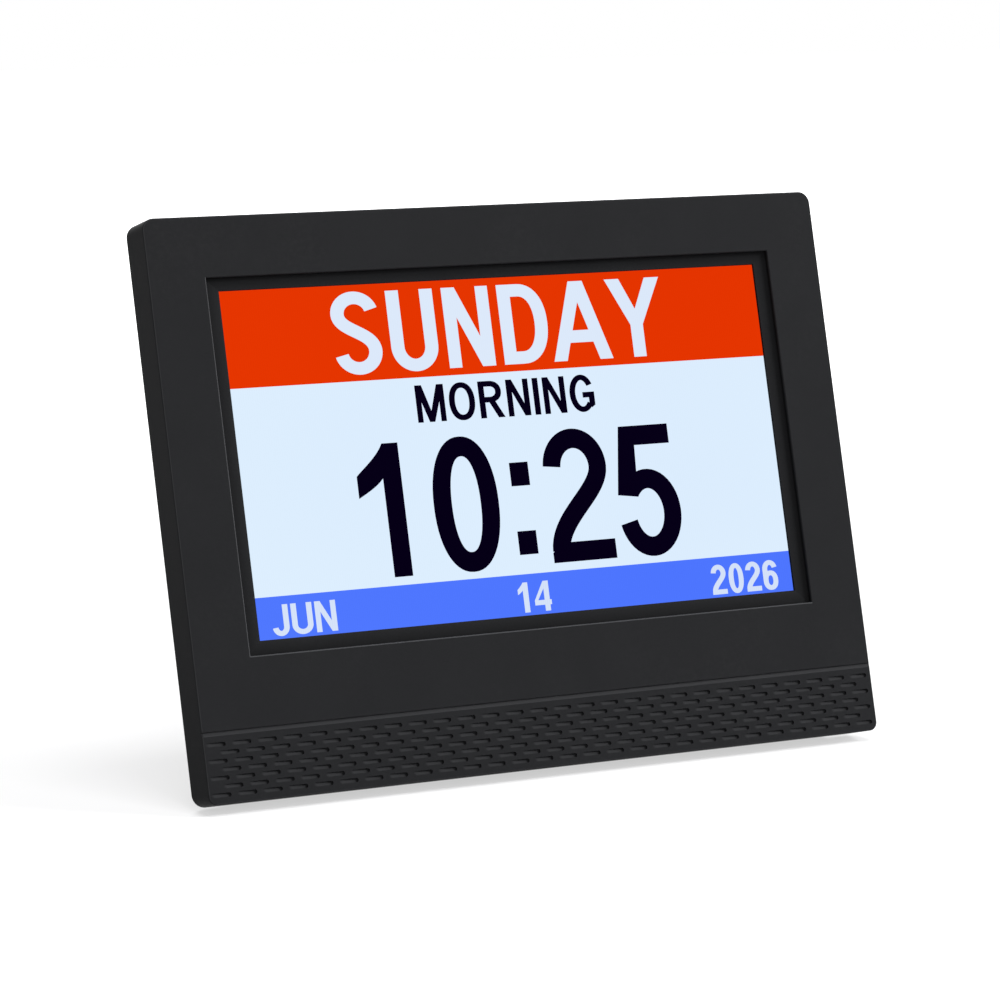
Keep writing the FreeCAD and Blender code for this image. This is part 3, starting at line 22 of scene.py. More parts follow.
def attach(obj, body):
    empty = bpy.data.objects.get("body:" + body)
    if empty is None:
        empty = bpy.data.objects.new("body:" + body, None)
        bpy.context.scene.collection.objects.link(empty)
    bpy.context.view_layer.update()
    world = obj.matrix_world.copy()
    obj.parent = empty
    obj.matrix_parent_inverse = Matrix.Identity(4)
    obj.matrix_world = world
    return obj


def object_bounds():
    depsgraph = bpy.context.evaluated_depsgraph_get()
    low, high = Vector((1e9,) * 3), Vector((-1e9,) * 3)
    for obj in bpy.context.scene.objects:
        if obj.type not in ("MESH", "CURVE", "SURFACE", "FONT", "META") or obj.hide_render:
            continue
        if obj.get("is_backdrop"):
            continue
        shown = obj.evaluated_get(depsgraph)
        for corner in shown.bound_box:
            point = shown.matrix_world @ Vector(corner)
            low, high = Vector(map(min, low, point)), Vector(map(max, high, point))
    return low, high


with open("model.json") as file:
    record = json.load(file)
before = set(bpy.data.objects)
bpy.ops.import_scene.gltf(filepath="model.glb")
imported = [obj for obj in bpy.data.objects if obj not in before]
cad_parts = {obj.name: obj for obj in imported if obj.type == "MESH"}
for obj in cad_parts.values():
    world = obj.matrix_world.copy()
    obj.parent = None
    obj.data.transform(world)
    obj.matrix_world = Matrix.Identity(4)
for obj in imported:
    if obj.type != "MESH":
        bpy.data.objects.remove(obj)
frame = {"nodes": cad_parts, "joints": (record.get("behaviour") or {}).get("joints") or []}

log = logging.getLogger("day_clock")

Point = tuple[float, float]
Span = tuple[float, float]
Triple = tuple[float, float, float]
Colour = Triple
Value = Union[float, Sequence[float], "Term"]
Inputs = dict[Union[str, int], Value]

MM = 0.001
ROUNDING = 1e-6
WELD_GAP = 1e-4
INSIDE_OUTLINES = 1


def linear(red: float, green: float, blue: float) -> Colour:
    """Turns a colour as a screen shows it into the linear colour that a shader takes.

    The numbers in it are those of the curve that screens use.

    Args:
        red: Red from 0 to 255.
        green: Green from 0 to 255.
        blue: Blue from 0 to 255.

    Returns:
        The three linear values from 0 to 1.
    """
    def one(value: float) -> float:
        """Turns one channel."""
        share = value / 255
        return share / 12.92 if share <= 0.04045 else ((share + 0.055) / 1.055) ** 2.4
    return one(red), one(green), one(blue)


def opaque(colour: Colour) -> tuple[float, float, float, float]:
    """Adds a full alpha to a colour."""
    return (*colour, 1.0)


def shaded(colour: Colour, factor: float) -> Colour:
    """Makes a colour darker or lighter by a factor."""
    return tuple(min(1.0, channel * factor) for channel in colour)


def either_side(colour: Colour, contrast: float) -> tuple[Colour, Colour]:
    """Gives a darker and a lighter colour at the same distance from a colour."""
    return shaded(colour, 1 - contrast), shaded(colour, 1 + contrast)


# ---- the clock's own frame


@dataclass(frozen=True)
class Lean:
    """Turns places in the upright clock, in millimetres, into places in the leaning model."""

    angle: float = 14.4
    hinge_depth: float = 21.7
    hinge_height: float = 74.0
    leg_opening: float = 30.0

    def matrix(self) -> Matrix:
        """Puts the hinge of the upright clock on the hinge of the model.

        Returns:
            The matrix from the upright clock in millimetres to the model in metres.
        """
        hinge = next(joint for joint in frame["joints"] if joint["name"] == "leg_fold")
        turn = Matrix.Rotation(-math.radians(self.angle), 4, "X") @ Matrix.Scale(MM, 4)
        here = turn @ Vector((0.0, self.hinge_depth, self.hinge_height))
        return Matrix.Translation(Vector(hinge["pos_m"]) - here) @ turn

    def leg_matrix(self) -> Matrix:
        """Opens the leg about its hinge before the clock leans.

        Returns:
            The matrix from the folded leg in millimetres to the open leg in the model.
        """
        hinge = Matrix.Translation((0.0, self.hinge_depth, self.hinge_height))
        swing = Matrix.Rotation(math.radians(self.leg_opening), 4, "X")
        return self.matrix() @ hinge @ swing @ hinge.inverted()


# ---- node trees


def sign(operation: str, number_first: bool = False) -> Callable[..., "Term"]:
    """Makes the method of a sign or a function of arithmetic, which adds a Math node.

    Args:
        operation: Kind of the Math node.
        number_first: Whether the other value comes before the term.

    Returns:
        The method.
    """
    def method(self: "Term", other: Value = 0.0) -> "Term":
        """Adds the Math node and gives its output."""
        first, second = (other, self) if number_first else (self, other)
        return self.graph.math(operation, first, second)
    return method


class Term:
    """A value in a node tree; each sign of arithmetic on it adds a Math node.

    The signs > and < give 1 where they hold and 0 elsewhere.
    """

    def __init__(self, graph: "Graph", socket: bpy.types.NodeSocket) -> None:
        """Keeps the graph and the socket that gives the value."""
        self.graph = graph
        self.socket = socket

    __add__ = sign("ADD")
    __sub__ = sign("SUBTRACT")
    __rsub__ = sign("SUBTRACT", number_first=True)
    __mul__ = sign("MULTIPLY")
    __truediv__ = sign("DIVIDE")
    __rtruediv__ = sign("DIVIDE", number_first=True)
    __mod__ = sign("MODULO")
    __gt__ = sign("GREATER_THAN")
    __lt__ = sign("LESS_THAN")
    __abs__ = sign("ABSOLUTE")
    at_least = sign("MAXIMUM")
    at_most = sign("MINIMUM")
    floor = sign("FLOOR")
    fraction = sign("FRACT")
    root = sign("SQRT")
    sine = sign("SINE")


class Graph:
    """A node tree and short ways to add nodes to it."""

    def __init__(self, tree: bpy.types.NodeTree) -> None:
        """Keeps the tree that is filled."""
        self.tree = tree

    @classmethod
    def of(cls, owner: Union[bpy.types.Material, bpy.types.World]) -> "Graph":
        """Starts the empty tree of a material or a world.

        Args:
            owner: The material or the world.

        Returns:
            The graph of its tree.
        """
        owner.use_nodes = True
        owner.node_tree.nodes.clear()
        return cls(owner.node_tree)

    def add(self, kind: str, inputs: Optional[Inputs] = None,
            **settings: object) -> bpy.types.Node:
        """Adds a node.

        Args:
            kind: The node's type name.
            inputs: A value or the term to link from, for each input by name or number.
            **settings: The node's own settings.

        Returns:
            The new node.
        """
        node = self.tree.nodes.new(kind)
        for name, value in settings.items():
            setattr(node, name, value)
        for key, value in (inputs or {}).items():
            if isinstance(value, Term):
                self.tree.links.new(value.socket, node.inputs[key])
            else:
                node.inputs[key].default_value = value
        return node

    def term(self, kind: str, inputs: Optional[Inputs] = None, output: Union[str, int] = 0,
             **settings: object) -> Term:
        """Adds a node and gives one of its outputs, by name or number."""
        return Term(self, self.add(kind, inputs, **settings).outputs[output])

    def terms(self, kind: str, inputs: Optional[Inputs] = None,
              **settings: object) -> dict[str, Term]:
        """Adds a node and gives all its outputs by name."""
        node = self.add(kind, inputs, **settings)
        return {socket.name: Term(self, socket) for socket in node.outputs}

    def math(self, operation: str, first: Value, second: Value = 0.0, clamp: bool = False) -> Term:
        """Adds a Math node."""
        return self.term("ShaderNodeMath", {0: first, 1: second}, operation=operation,
                         use_clamp=clamp)

    def scaled(self, vector: Value, factor: Value) -> Term:
        """Multiplies a vector or a colour by a number."""
        return self.term("ShaderNodeVectorMath", {0: vector, 3: factor}, operation="SCALE")

    def mix(self, factor: Value, first: Value, second: Value) -> Term:
        """Mixes two colours."""
        tints = [tint if isinstance(tint, Term) else opaque(tint) for tint in (first, second)]
        return self.term("ShaderNodeMix", {0: factor, 6: tints[0], 7: tints[1]}, output=2,
                         data_type="RGBA")

    def choose(self, test: Term, if_not: Term, if_so: Term) -> Term:
        """Gives one of two numbers by a test that is 0 or 1."""
        return self.term("ShaderNodeMix", {0: test, 2: if_not, 3: if_so})

    def ramp(self, value: Value, low: float, high: float, at_low: float = 0.0,
             at_high: float = 1.0) -> Term:
        """Stretches a value between two levels."""
        return self.term("ShaderNodeMapRange", {0: value, 1: low, 2: high, 3: at_low, 4: at_high})

    def noise(self, vector: Term, scale: float, detail: float, **inputs: float) -> Term:
        """Adds a noise pattern."""
        return self.term("ShaderNodeTexNoise", {"Vector": vector, "Scale": scale,
                                                "Detail": detail, **inputs})

    def cells(self, vector: Term, scale: float, **settings: str) -> Term:
        """Adds a pattern of cells."""
        return self.term("ShaderNodeTexVoronoi", {"Vector": vector, "Scale": scale}, **settings)

    def finish(self, **outputs: Term) -> bpy.types.NodeTree:
        """Links the outputs of a group and gives its tree."""
        self.add("NodeGroupOutput", outputs)
        return self.tree


# ---- shared effects


class Effect(Enum):
    """Shader effects that several finishes share."""

    GRAIN = "moulded_grain"
    DUST = "dust_and_touch"
    BRUSH = "rolled_metal"
    CELLS = "open_cells"
    TRACKS = "board_tracks"
    RIMS = "front_rims"
    PIXELS = "pixel_columns"


@dataclass(frozen=True)
class PaintedLightStrip:
    """The painted light on the sloping floor of each dimple of the front shell.

    Lengths along the dimple are in mm from its middle, and those up and down are shares of a row.
    Whole cells are added so that the count along a row stays above 0.
    """

    left_end: Span = (-2.6, -1.8)
    right_end: Span = (1.7, 2.4)
    middle: float = 0.57
    half_height: Span = (0.08, 0.24)
    strength: float = 0.72
    behind_face: float = 0.02
    whole_cells: float = 100.0

    def mask(self, graph: Graph, axes: dict[str, Term], size: dict[str, Term]) -> Term:
        """Adds the mask of painted light in the groove and dimples, fading at their right ends.

        Args:
            graph: The graph of the group.
            axes: The place in mm as X, Y and Z.
            size: The group's inputs.

        Returns:
            The mask.
        """
        down = (size["Pattern Top"] - axes["Z"]) / size["Row Pitch"]
        odd = down.floor() % 2.0
        across = (axes["X"] - size["Shift"]) / size["Pitch"]
        turn = (across + (odd * 0.5 + self.whole_cells)).fraction()
        along = (turn - 0.5) * size["Pitch"]
        # Painted light: a strip on each row, faded out at both ends of the dimple; whole in the
        # groove.
        fade = graph.ramp(along, *self.right_end, 1.0, 0.0) * graph.ramp(along, *self.left_end)
        low = abs(down.fraction() - self.middle)
        strip = fade * graph.ramp(low, *self.half_height, self.strength, 0.0)
        share = strip.at_least(down < 0.0)
        return share * ((axes["Y"] > self.behind_face) * (axes["Z"] < size["Groove Top"]))


class EffectLibrary:
    """Builds each shared shader group once."""

    def __init__(self) -> None:
        """Starts with no group built."""
        self.groups: dict[Effect, bpy.types.NodeTree] = {}

    def get(self, effect: Effect) -> bpy.types.NodeTree:
        """Gives the group of an effect, built at its first use.

        Args:
            effect: The effect that is wanted.

        Returns:
            Its shader node group.
        """
        if effect not in self.groups:
            self.groups[effect] = getattr(self, effect.value)()
        return self.groups[effect]

    def start(self, effect: Effect, inputs: dict[str, float],
              *outputs: str) -> tuple[Graph, dict[str, Term]]:
        """Starts a group with a Place input, some numbers and its outputs.

        Args:
            effect: The effect, whose value names the group.
            inputs: The number inputs and their defaults.
            *outputs: Names of the number outputs.

        Returns:
            The graph of the group and its inputs by name.
        """
        tree = bpy.data.node_groups.new(effect.value, "ShaderNodeTree")
        sockets = tree.interface
        sockets.new_socket("Place", in_out="INPUT", socket_type="NodeSocketVector")
        for label, value in inputs.items():
            socket = sockets.new_socket(label, in_out="INPUT", socket_type="NodeSocketFloat")
            socket.default_value = value
        for label in outputs:
            sockets.new_socket(label, in_out="OUTPUT", socket_type="NodeSocketFloat")
        graph = Graph(tree)
        return graph, graph.terms("NodeGroupInput")

    def in_units(self, given: dict[str, Term], unit: str = "Size") -> Term:
        """Gives the place in units of one of a group's inputs, which is in mm."""
        return given["Place"].graph.scaled(given["Place"], 1 / MM / given[unit])

    def moulded_grain(self) -> bpy.types.NodeTree:
        """Builds the fine grain of a mould that was etched, with wide pale clouds.

        Returns:
            A group that gives Height and Tone, with Size and Cloud in mm.
        """
        graph, given = self.start(Effect.GRAIN, {"Size": 0.3, "Cloud": 14.0}, "Height", "Tone")
        fine = self.in_units(given)
        pits = graph.noise(fine, 1.0, 2.0, Roughness=0.6)
        cells = graph.cells(fine, 0.7, feature="SMOOTH_F1")
        cloud = graph.noise(self.in_units(given, "Cloud"), 1.0, 3.0, Roughness=0.55)
        tone = graph.ramp(pits, 0.25, 0.75) * 0.6 + graph.ramp(cloud, 0.25, 0.75) * 0.4
        return graph.finish(Height=pits * 0.7 + cells * 0.5, Tone=tone)

    def dust_and_touch(self) -> bpy.types.NodeTree:
        """Builds the faint marks of dust and handling.

        Returns:
            A group that gives Mask, with Size in mm.
        """
        graph, given = self.start(Effect.DUST, {"Size": 30.0, "Amount": 0.5}, "Mask")
        place = self.in_units(given)
        wide = graph.noise(place, 1.0, 4.0, Distortion=0.6)
        fine = graph.noise(place, 26.0, 2.0)
        specks = graph.ramp(wide, 0.45, 0.75) * graph.ramp(fine, 0.4, 0.7)
        return graph.finish(Mask=graph.math("MULTIPLY", specks, given["Amount"], clamp=True))

    def rolled_metal(self) -> bpy.types.NodeTree:
        """Builds the streaks of rolled or brushed metal along x.

        Returns:
            A group that gives Height and Tone, with Size in mm.
        """
        graph, given = self.start(Effect.BRUSH, {"Size": 0.25}, "Height", "Tone")
        place = self.in_units(given)
        drawn = graph.term("ShaderNodeMapping", {"Vector": place, "Scale": (0.04, 1.0, 1.0)})
        streak = graph.noise(drawn, 1.0, 3.0)
        cloud = graph.noise(place, 0.03, 2.0)
        return graph.finish(Height=streak, Tone=streak * 0.6 + cloud * 0.4)

    def open_cells(self) -> bpy.types.NodeTree:
        """Builds the open cells of foam, paper or print.

        Returns:
            A group that gives Height and Tone, with Size in mm.
        """
        graph, given = self.start(Effect.CELLS, {"Size": 0.4}, "Height", "Tone")
        place = self.in_units(given)
        edges = graph.cells(place, 1.0, feature="DISTANCE_TO_EDGE")
        fuzz = graph.noise(place, 2.4, 3.0)
        walls = graph.ramp(edges, 0.0, 0.35, 1.0, 0.0)
        return graph.finish(Height=walls, Tone=fuzz * graph.ramp(walls, 0.0, 1.0, 0.6, 1.2))

    def board_tracks(self) -> bpy.types.NodeTree:
        """Builds copper tracks under the varnish of a board.

        Returns:
            A group that gives Track, with Size in mm.
        """
        graph, given = self.start(Effect.TRACKS, {"Size": 2.4}, "Track")
        rings = graph.cells(self.in_units(given), 1.0, feature="F1", distance="MANHATTAN")
        bands = (rings * 3.0).fraction()
        track = graph.ramp(bands, 0.42, 0.5) * graph.ramp(bands, 0.86, 0.78)
        return graph.finish(Track=track)

    def box_gap(self, across: Term, rise: Term, radius: Value) -> Term:
        """Adds the signed distance from a rounded box outline, above 0 outside it.

        Args:
            across: How far the point is past the side of the box.
            rise: How far it is past the top or the foot.
            radius: Radius of the corners.

        Returns:
            The distance.
        """
        near_side, near_end = across + radius, rise + radius
        past_side, past_end = near_side.at_least(0.0), near_end.at_least(0.0)
        corner = (past_side * past_side + past_end * past_end).root()
        return corner + near_side.at_least(near_end).at_most(0.0) - radius

    def front_rims(self) -> bpy.types.NodeTree:
        """Builds masks on the front shell: painted shade, painted highlight and painted light.

        The painted shade lies on the ledge by the window's walls. Rim is a painted highlight on
        the rounded edges, except on the right side of the face. Round its window it is painted on
        the foot and on the left side. The painted light lies in the groove and the dimples.

        Returns:
            A group whose Place is that in the upright clock, with the shell's sizes in mm.
        """
        graph, size = self.start(Effect.RIMS, {
            "Face Half Width": 96.2, "Face Half Height": 71.4, "Foot Corner": 2.2,
            "Head Corner": 3.1, "Window Half Width": 80.9, "Window Half Height": 46.35,
            "Window Middle": 81.2, "Reach": 4.6, "Round": 0.3, "Rim Depth": 0.15, "Pitch": 6.85,
            "Row Pitch": 2.035, "Shift": -0.33, "Pattern Top": 15.52, "Groove Top": 17.8,
            "Outer": 0.5, "Rim Share": 1.1, "Window Rim Half": 0.17, "Ledge Depth": 0.5,
            "Ledge Slack": 0.05, "Plain Margin": 0.45}, "Dull", "Rim", "Pressed")
        axes = graph.terms("ShaderNodeSeparateXYZ", {0: graph.scaled(size["Place"], 1 / MM)})
        x, y, z = axes["X"], axes["Y"], axes["Z"]
        face_rise = abs(z - size["Face Half Height"]) - size["Face Half Height"]
        face_side = abs(x) - size["Face Half Width"]
        upper = z > size["Face Half Height"]
        corner = graph.choose(upper, size["Foot Corner"], size["Head Corner"])
        face = self.box_gap(face_side, face_rise, corner)
        rise = abs(z - size["Window Middle"]) - size["Window Half Height"]
        side = abs(x) - size["Window Half Width"]
        window = self.box_gap(side, rise, 0.0)
        # Painted shade: the ledge darkens towards the window's walls, over the reach.
        ledge = (window < size["Ledge Slack"]) * (y > size["Ledge Depth"])
        dull = graph.ramp(window / size["Reach"], -1.0, 0.0) * ledge
        # Painted highlight on the rounded edges of the face and of the window.
        right = x > 0.0
        edge = (face + size["Round"] * size["Rim Share"] > 0.0) * (y < size["Rim Depth"])
        outer = edge * (1.0 - (face_side > face_rise) * right)
        middle = size["Round"] * 0.5
        inner = (abs(window - middle) < size["Window Rim Half"]) * (y < size["Round"])
        lit = graph.choose(side > rise, z < size["Window Middle"], 1.0 - right)
        rim = graph.math("ADD", outer * size["Outer"], inner * lit, clamp=True)
        # Painted light on the groove and on the dimples' sloping floors, inside the face.
        within = face + size["Plain Margin"] < 0.0
        painted_light = within * PaintedLightStrip().mask(graph, axes, size)
        return graph.finish(Dull=dull, Rim=rim, Pressed=painted_light)

    def pixel_columns(self) -> bpy.types.NodeTree:
        """Builds the fine upright lines of a display and a wide faint veil.

        Returns:
            A group that gives Line and Veil, with Size as the pitch of the lines in mm.
        """
        graph, given = self.start(Effect.PIXELS, {"Size": 0.6, "Depth": 0.04}, "Line", "Veil")
        across = graph.term("ShaderNodeSeparateXYZ", {0: given["Place"]})
        wave = ((across * (math.tau / MM) / given["Size"]).sine() + 1.0) * 0.5
        veil = graph.noise(given["Place"], 9.0, 1.0)
        return graph.finish(Line=1.0 - wave * given["Depth"], Veil=graph.ramp(veil, 0.3, 0.7))


EFFECTS = EffectLibrary()


# ---- finishes


class Painter:
    """A new material, its graph and its main shader."""

    def __init__(self, name: str) -> None:
        """Starts the material with a Principled BSDF.

        Args:
            name: Name of the material.
        """
        self.material = bpy.data.materials.new(name)
        self.graph = Graph.of(self.material)
        self.shader = self.graph.add("ShaderNodeBsdfPrincipled")
        shown = Term(self.graph, self.shader.outputs[0])
        self.graph.add("ShaderNodeOutputMaterial", {"Surface": shown})
        self.place = self.graph.term("ShaderNodeTexCoord", output="Object")

    def effect(self, effect: Effect, place: Optional[Term] = None,
               **inputs: float) -> dict[str, Term]:
        """Places a shared effect with its own values.

        Args:
            effect: The effect.
            place: Where on the surface it is read, if not by the Object coordinates.
            **inputs: Values of its inputs.

        Returns:
            Its outputs by name.
        """
        return self.graph.terms("ShaderNodeGroup", {"Place": place or self.place, **inputs},
                                node_tree=EFFECTS.get(effect))

    def set(self, **values: object) -> None:
        """Sets constant sockets of the shader, with spaces in their names as underscores."""
        for name, value in values.items():
            self.shader.inputs[name.replace("_", " ")].default_value = value

    def link(self, name: str, value: Term) -> None:
        """Links a value that changes over the surface to a socket of the shader."""
        self.graph.tree.links.new(value.socket, self.shader.inputs[name])

    def colour(self, factor: Term, first: Colour, second: Colour) -> None:
        """Mixes two colours into the base colour."""
        self.link("Base Color", self.graph.mix(factor, first, second))

    def rough(self, factor: Term, roughness: Span) -> None:
        """Varies the roughness between two values."""
        self.link("Roughness", self.graph.ramp(factor, 0.0, 1.0, *roughness))

    def bump(self, height: Term, depth: float) -> None:
        """Gives the surface a relief from a height of 0 to 1 and its depth in mm."""
        self.link("Normal", self.graph.term("ShaderNodeBump", {
            "Height": height, "Distance": depth * MM, "Strength": 1.0}))

    def texture(self, pattern: dict[str, Term], roughness: Span, relief: float) -> None:
        """Varies the roughness by the Tone of an effect and gives a relief by its Height."""
        self.rough(pattern["Tone"], roughness)
        self.bump(pattern["Height"], relief)


@dataclass(frozen=True)
class Finish:
    """What one kind of surface looks like; each kind of finish paints in its own way."""

    name: str
    base: Colour

    def paint(self, paint: Painter) -> None:
        """Sets up the shader of the material."""
        raise NotImplementedError(self.name)

    def material(self) -> bpy.types.Material:
        """Builds the material.

        Returns:
            The finished material.
        """
        paint = Painter(self.name)
        self.paint(paint)
        return paint.material


@dataclass(frozen=True)
class MouldedPlastic(Finish):
    """Moulded plastic with an etched grain and faint marks of dust and handling."""

    roughness: Span = (0.28, 0.4)
    ior: float = 1.05
    grain: float = 0.28
    relief: float = 0.012
    contrast: float = 0.08
    dust: float = 0.2
    dust_colour: Colour = (0.035, 0.035, 0.036)

    def shade(self, paint: Painter, colour: Term) -> Term:
        """Changes the colour for a special piece; plain plastic keeps it."""
        return colour

    def paint(self, paint: Painter) -> None:
        """Sets up the shader.

        Args:
            paint: The material that is being built.
        """
        grain = paint.effect(Effect.GRAIN, Size=self.grain)
        dust = paint.effect(Effect.DUST, Size=34.0, Amount=self.dust)
        clean = paint.graph.mix(grain["Tone"], *either_side(self.base, self.contrast))
        dusty = paint.graph.mix(dust["Mask"], clean, self.dust_colour)
        paint.link("Base Color", self.shade(paint, dusty))
        paint.texture(grain, self.roughness, self.relief)
        paint.set(IOR=self.ior)


@dataclass(frozen=True)
class FrontPlastic(MouldedPlastic):
    """Plastic of the front shell, with painted shade, highlight and light.

    The painted shade inside the window and the painted highlight on the rounded edges each
    have a share and a colour. The groove and the dimples have the colour of the painted light.
    """

    # Share of the painted shade inside the window.
    dull: float = 0.52
    # Share of the painted highlight on the rounded edges.
    rim: float = 1.0
    # Colour of the painted shade.
    painted_shade_colour: Colour = (0.002, 0.002, 0.002)
    # Colour of the painted highlight.
    painted_highlight_colour: Colour = (0.052, 0.053, 0.056)
    # Colour of the painted light in the groove and the dimples.
    painted_light_colour: Colour = (0.0305, 0.0309, 0.0328)

    def shade(self, paint: Painter, colour: Term) -> Term:
        """Paints shade inside the window, a highlight on the rounded edges and light in the groove.

        Args:
            paint: The material that is being built.
            colour: Its colour so far.

        Returns:
            The changed colour.
        """
        upright = Lean().matrix().inverted() @ Matrix.Scale(MM, 4)
        place = paint.graph.term("ShaderNodeMapping", {
            "Vector": paint.place, "Location": upright.translation * MM,
            "Rotation": upright.to_euler()})
        rims = paint.effect(Effect.RIMS, place)
        # Painted shade inside the window.
        with_painted_shade = paint.graph.mix(rims["Dull"] * self.dull, colour, self.painted_shade_colour)
        # Painted highlight on the rounded edges.
        with_painted_highlight = paint.graph.mix(rims["Rim"] * self.rim, with_painted_shade, self.painted_highlight_colour)
        # Painted light in the groove and the dimples.
        return paint.graph.mix(rims["Pressed"], with_painted_highlight, self.painted_light_colour)


@dataclass(frozen=True)
class BareMetal(Finish):
    """Rolled, turned or plated metal with fine streaks."""

    roughness: Span = (0.25, 0.42)
    streak: float = 0.25
    relief: float = 0.004
    tones: Span = (0.78, 1.12)

    def paint(self, paint: Painter) -> None:
        """Sets up the shader.

        Args:
            paint: The material that is being built.
        """
        metal = paint.effect(Effect.BRUSH, Size=self.streak)
        paint.colour(metal["Tone"], *(shaded(self.base, tone) for tone in self.tones))
        paint.texture(metal, self.roughness, self.relief)
        paint.set(Metallic=1.0)


@dataclass(frozen=True)
class CellStuff(Finish):
    """Foam, rubber, paper or a matt film: open cells or fibres over a plain colour."""

    cell: float = 0.4
    relief: float = 0.05
    roughness: Span = (0.75, 0.95)
    contrast: float = 0.3
    specular: float = 0.3

    def paint(self, paint: Painter) -> None:
        """Sets up the shader.

        Args:
            paint: The material that is being built.
        """
        cells = paint.effect(Effect.CELLS, Size=self.cell)
        paint.colour(cells["Tone"], *either_side(self.base, self.contrast))
        paint.texture(cells, self.roughness, self.relief)
        paint.set(Specular_IOR_Level=self.specular)


@dataclass(frozen=True)
class ClearPlate(Finish):
    """Clear moulded sheet with a faint haze."""

    roughness: Span = (0.05, 0.16)
    transmission: float = 0.85

    def paint(self, paint: Painter) -> None:
        """Sets up the shader.

        Args:
            paint: The material that is being built.
        """
        haze = paint.effect(Effect.DUST, Size=22.0, Amount=0.6)
        paint.colour(haze["Mask"], self.base, shaded(self.base, 0.9))
        paint.rough(haze["Mask"], self.roughness)
        paint.set(Transmission_Weight=self.transmission, IOR=1.49)


@dataclass(frozen=True)
class DarkPanel(Finish):
    """Dark, anti-glare front of a display module."""

    roughness: Span = (0.2, 0.34)
    relief: float = 0.001

    def paint(self, paint: Painter) -> None:
        """Sets up the shader.

        Args:
            paint: The material that is being built.
        """
        grain = paint.effect(Effect.GRAIN, Size=0.12)
        touch = paint.effect(Effect.DUST, Size=26.0, Amount=0.5)
        paint.colour(grain["Tone"], self.base, shaded(self.base, 1.5))
        paint.rough(touch["Mask"], self.roughness)
        paint.bump(grain["Height"], self.relief)


@dataclass(frozen=True)
class VarnishedBoard(Finish):
    """Circuit board with copper tracks under its varnish."""

    track: Colour
    roughness: Span = (0.28, 0.42)
    relief: float = 0.02

    def paint(self, paint: Painter) -> None:
        """Sets up the shader.

        Args:
            paint: The material that is being built.
        """
        tracks = paint.effect(Effect.TRACKS, Size=5.2)
        grain = paint.effect(Effect.GRAIN, Size=0.5)
        paint.colour(tracks["Track"], self.base, self.track)
        paint.rough(grain["Tone"], self.roughness)
        paint.bump(tracks["Track"], self.relief)


@dataclass(frozen=True)
class Lit(Finish):
    """One colour of the lit display, with the fine upright lines of its pixels."""

    drift: Colour
    depth: float = 0.03
    pitch: float = 0.62

    def paint(self, paint: Painter) -> None:
        """Sets up the shader.

        Args:
            paint: The material that is being built.
        """
        lines = paint.effect(Effect.PIXELS, Size=self.pitch, Depth=self.depth)
        even = paint.graph.mix(lines["Veil"], self.base, self.drift)
        paint.link("Emission Color", paint.graph.scaled(even, lines["Line"]))
        paint.set(Base_Color=opaque((0.0, 0.0, 0.0)), Emission_Strength=1.0, Roughness=0.6,
                  Specular_IOR_Level=0.0)


@dataclass(frozen=True)
class PrintedInk(Finish):
    """Pad-printed ink with slightly uneven cover."""

    roughness: Span = (0.42, 0.6)

    def paint(self, paint: Painter) -> None:
        """Sets up the shader.

        Args:
            paint: The material that is being built.
        """
        cells = paint.effect(Effect.CELLS, Size=0.18)
        paint.colour(cells["Tone"], shaded(self.base, 0.82), self.base)
        paint.rough(cells["Tone"], self.roughness)


CHARCOAL = (0.0181, 0.0184, 0.0197)

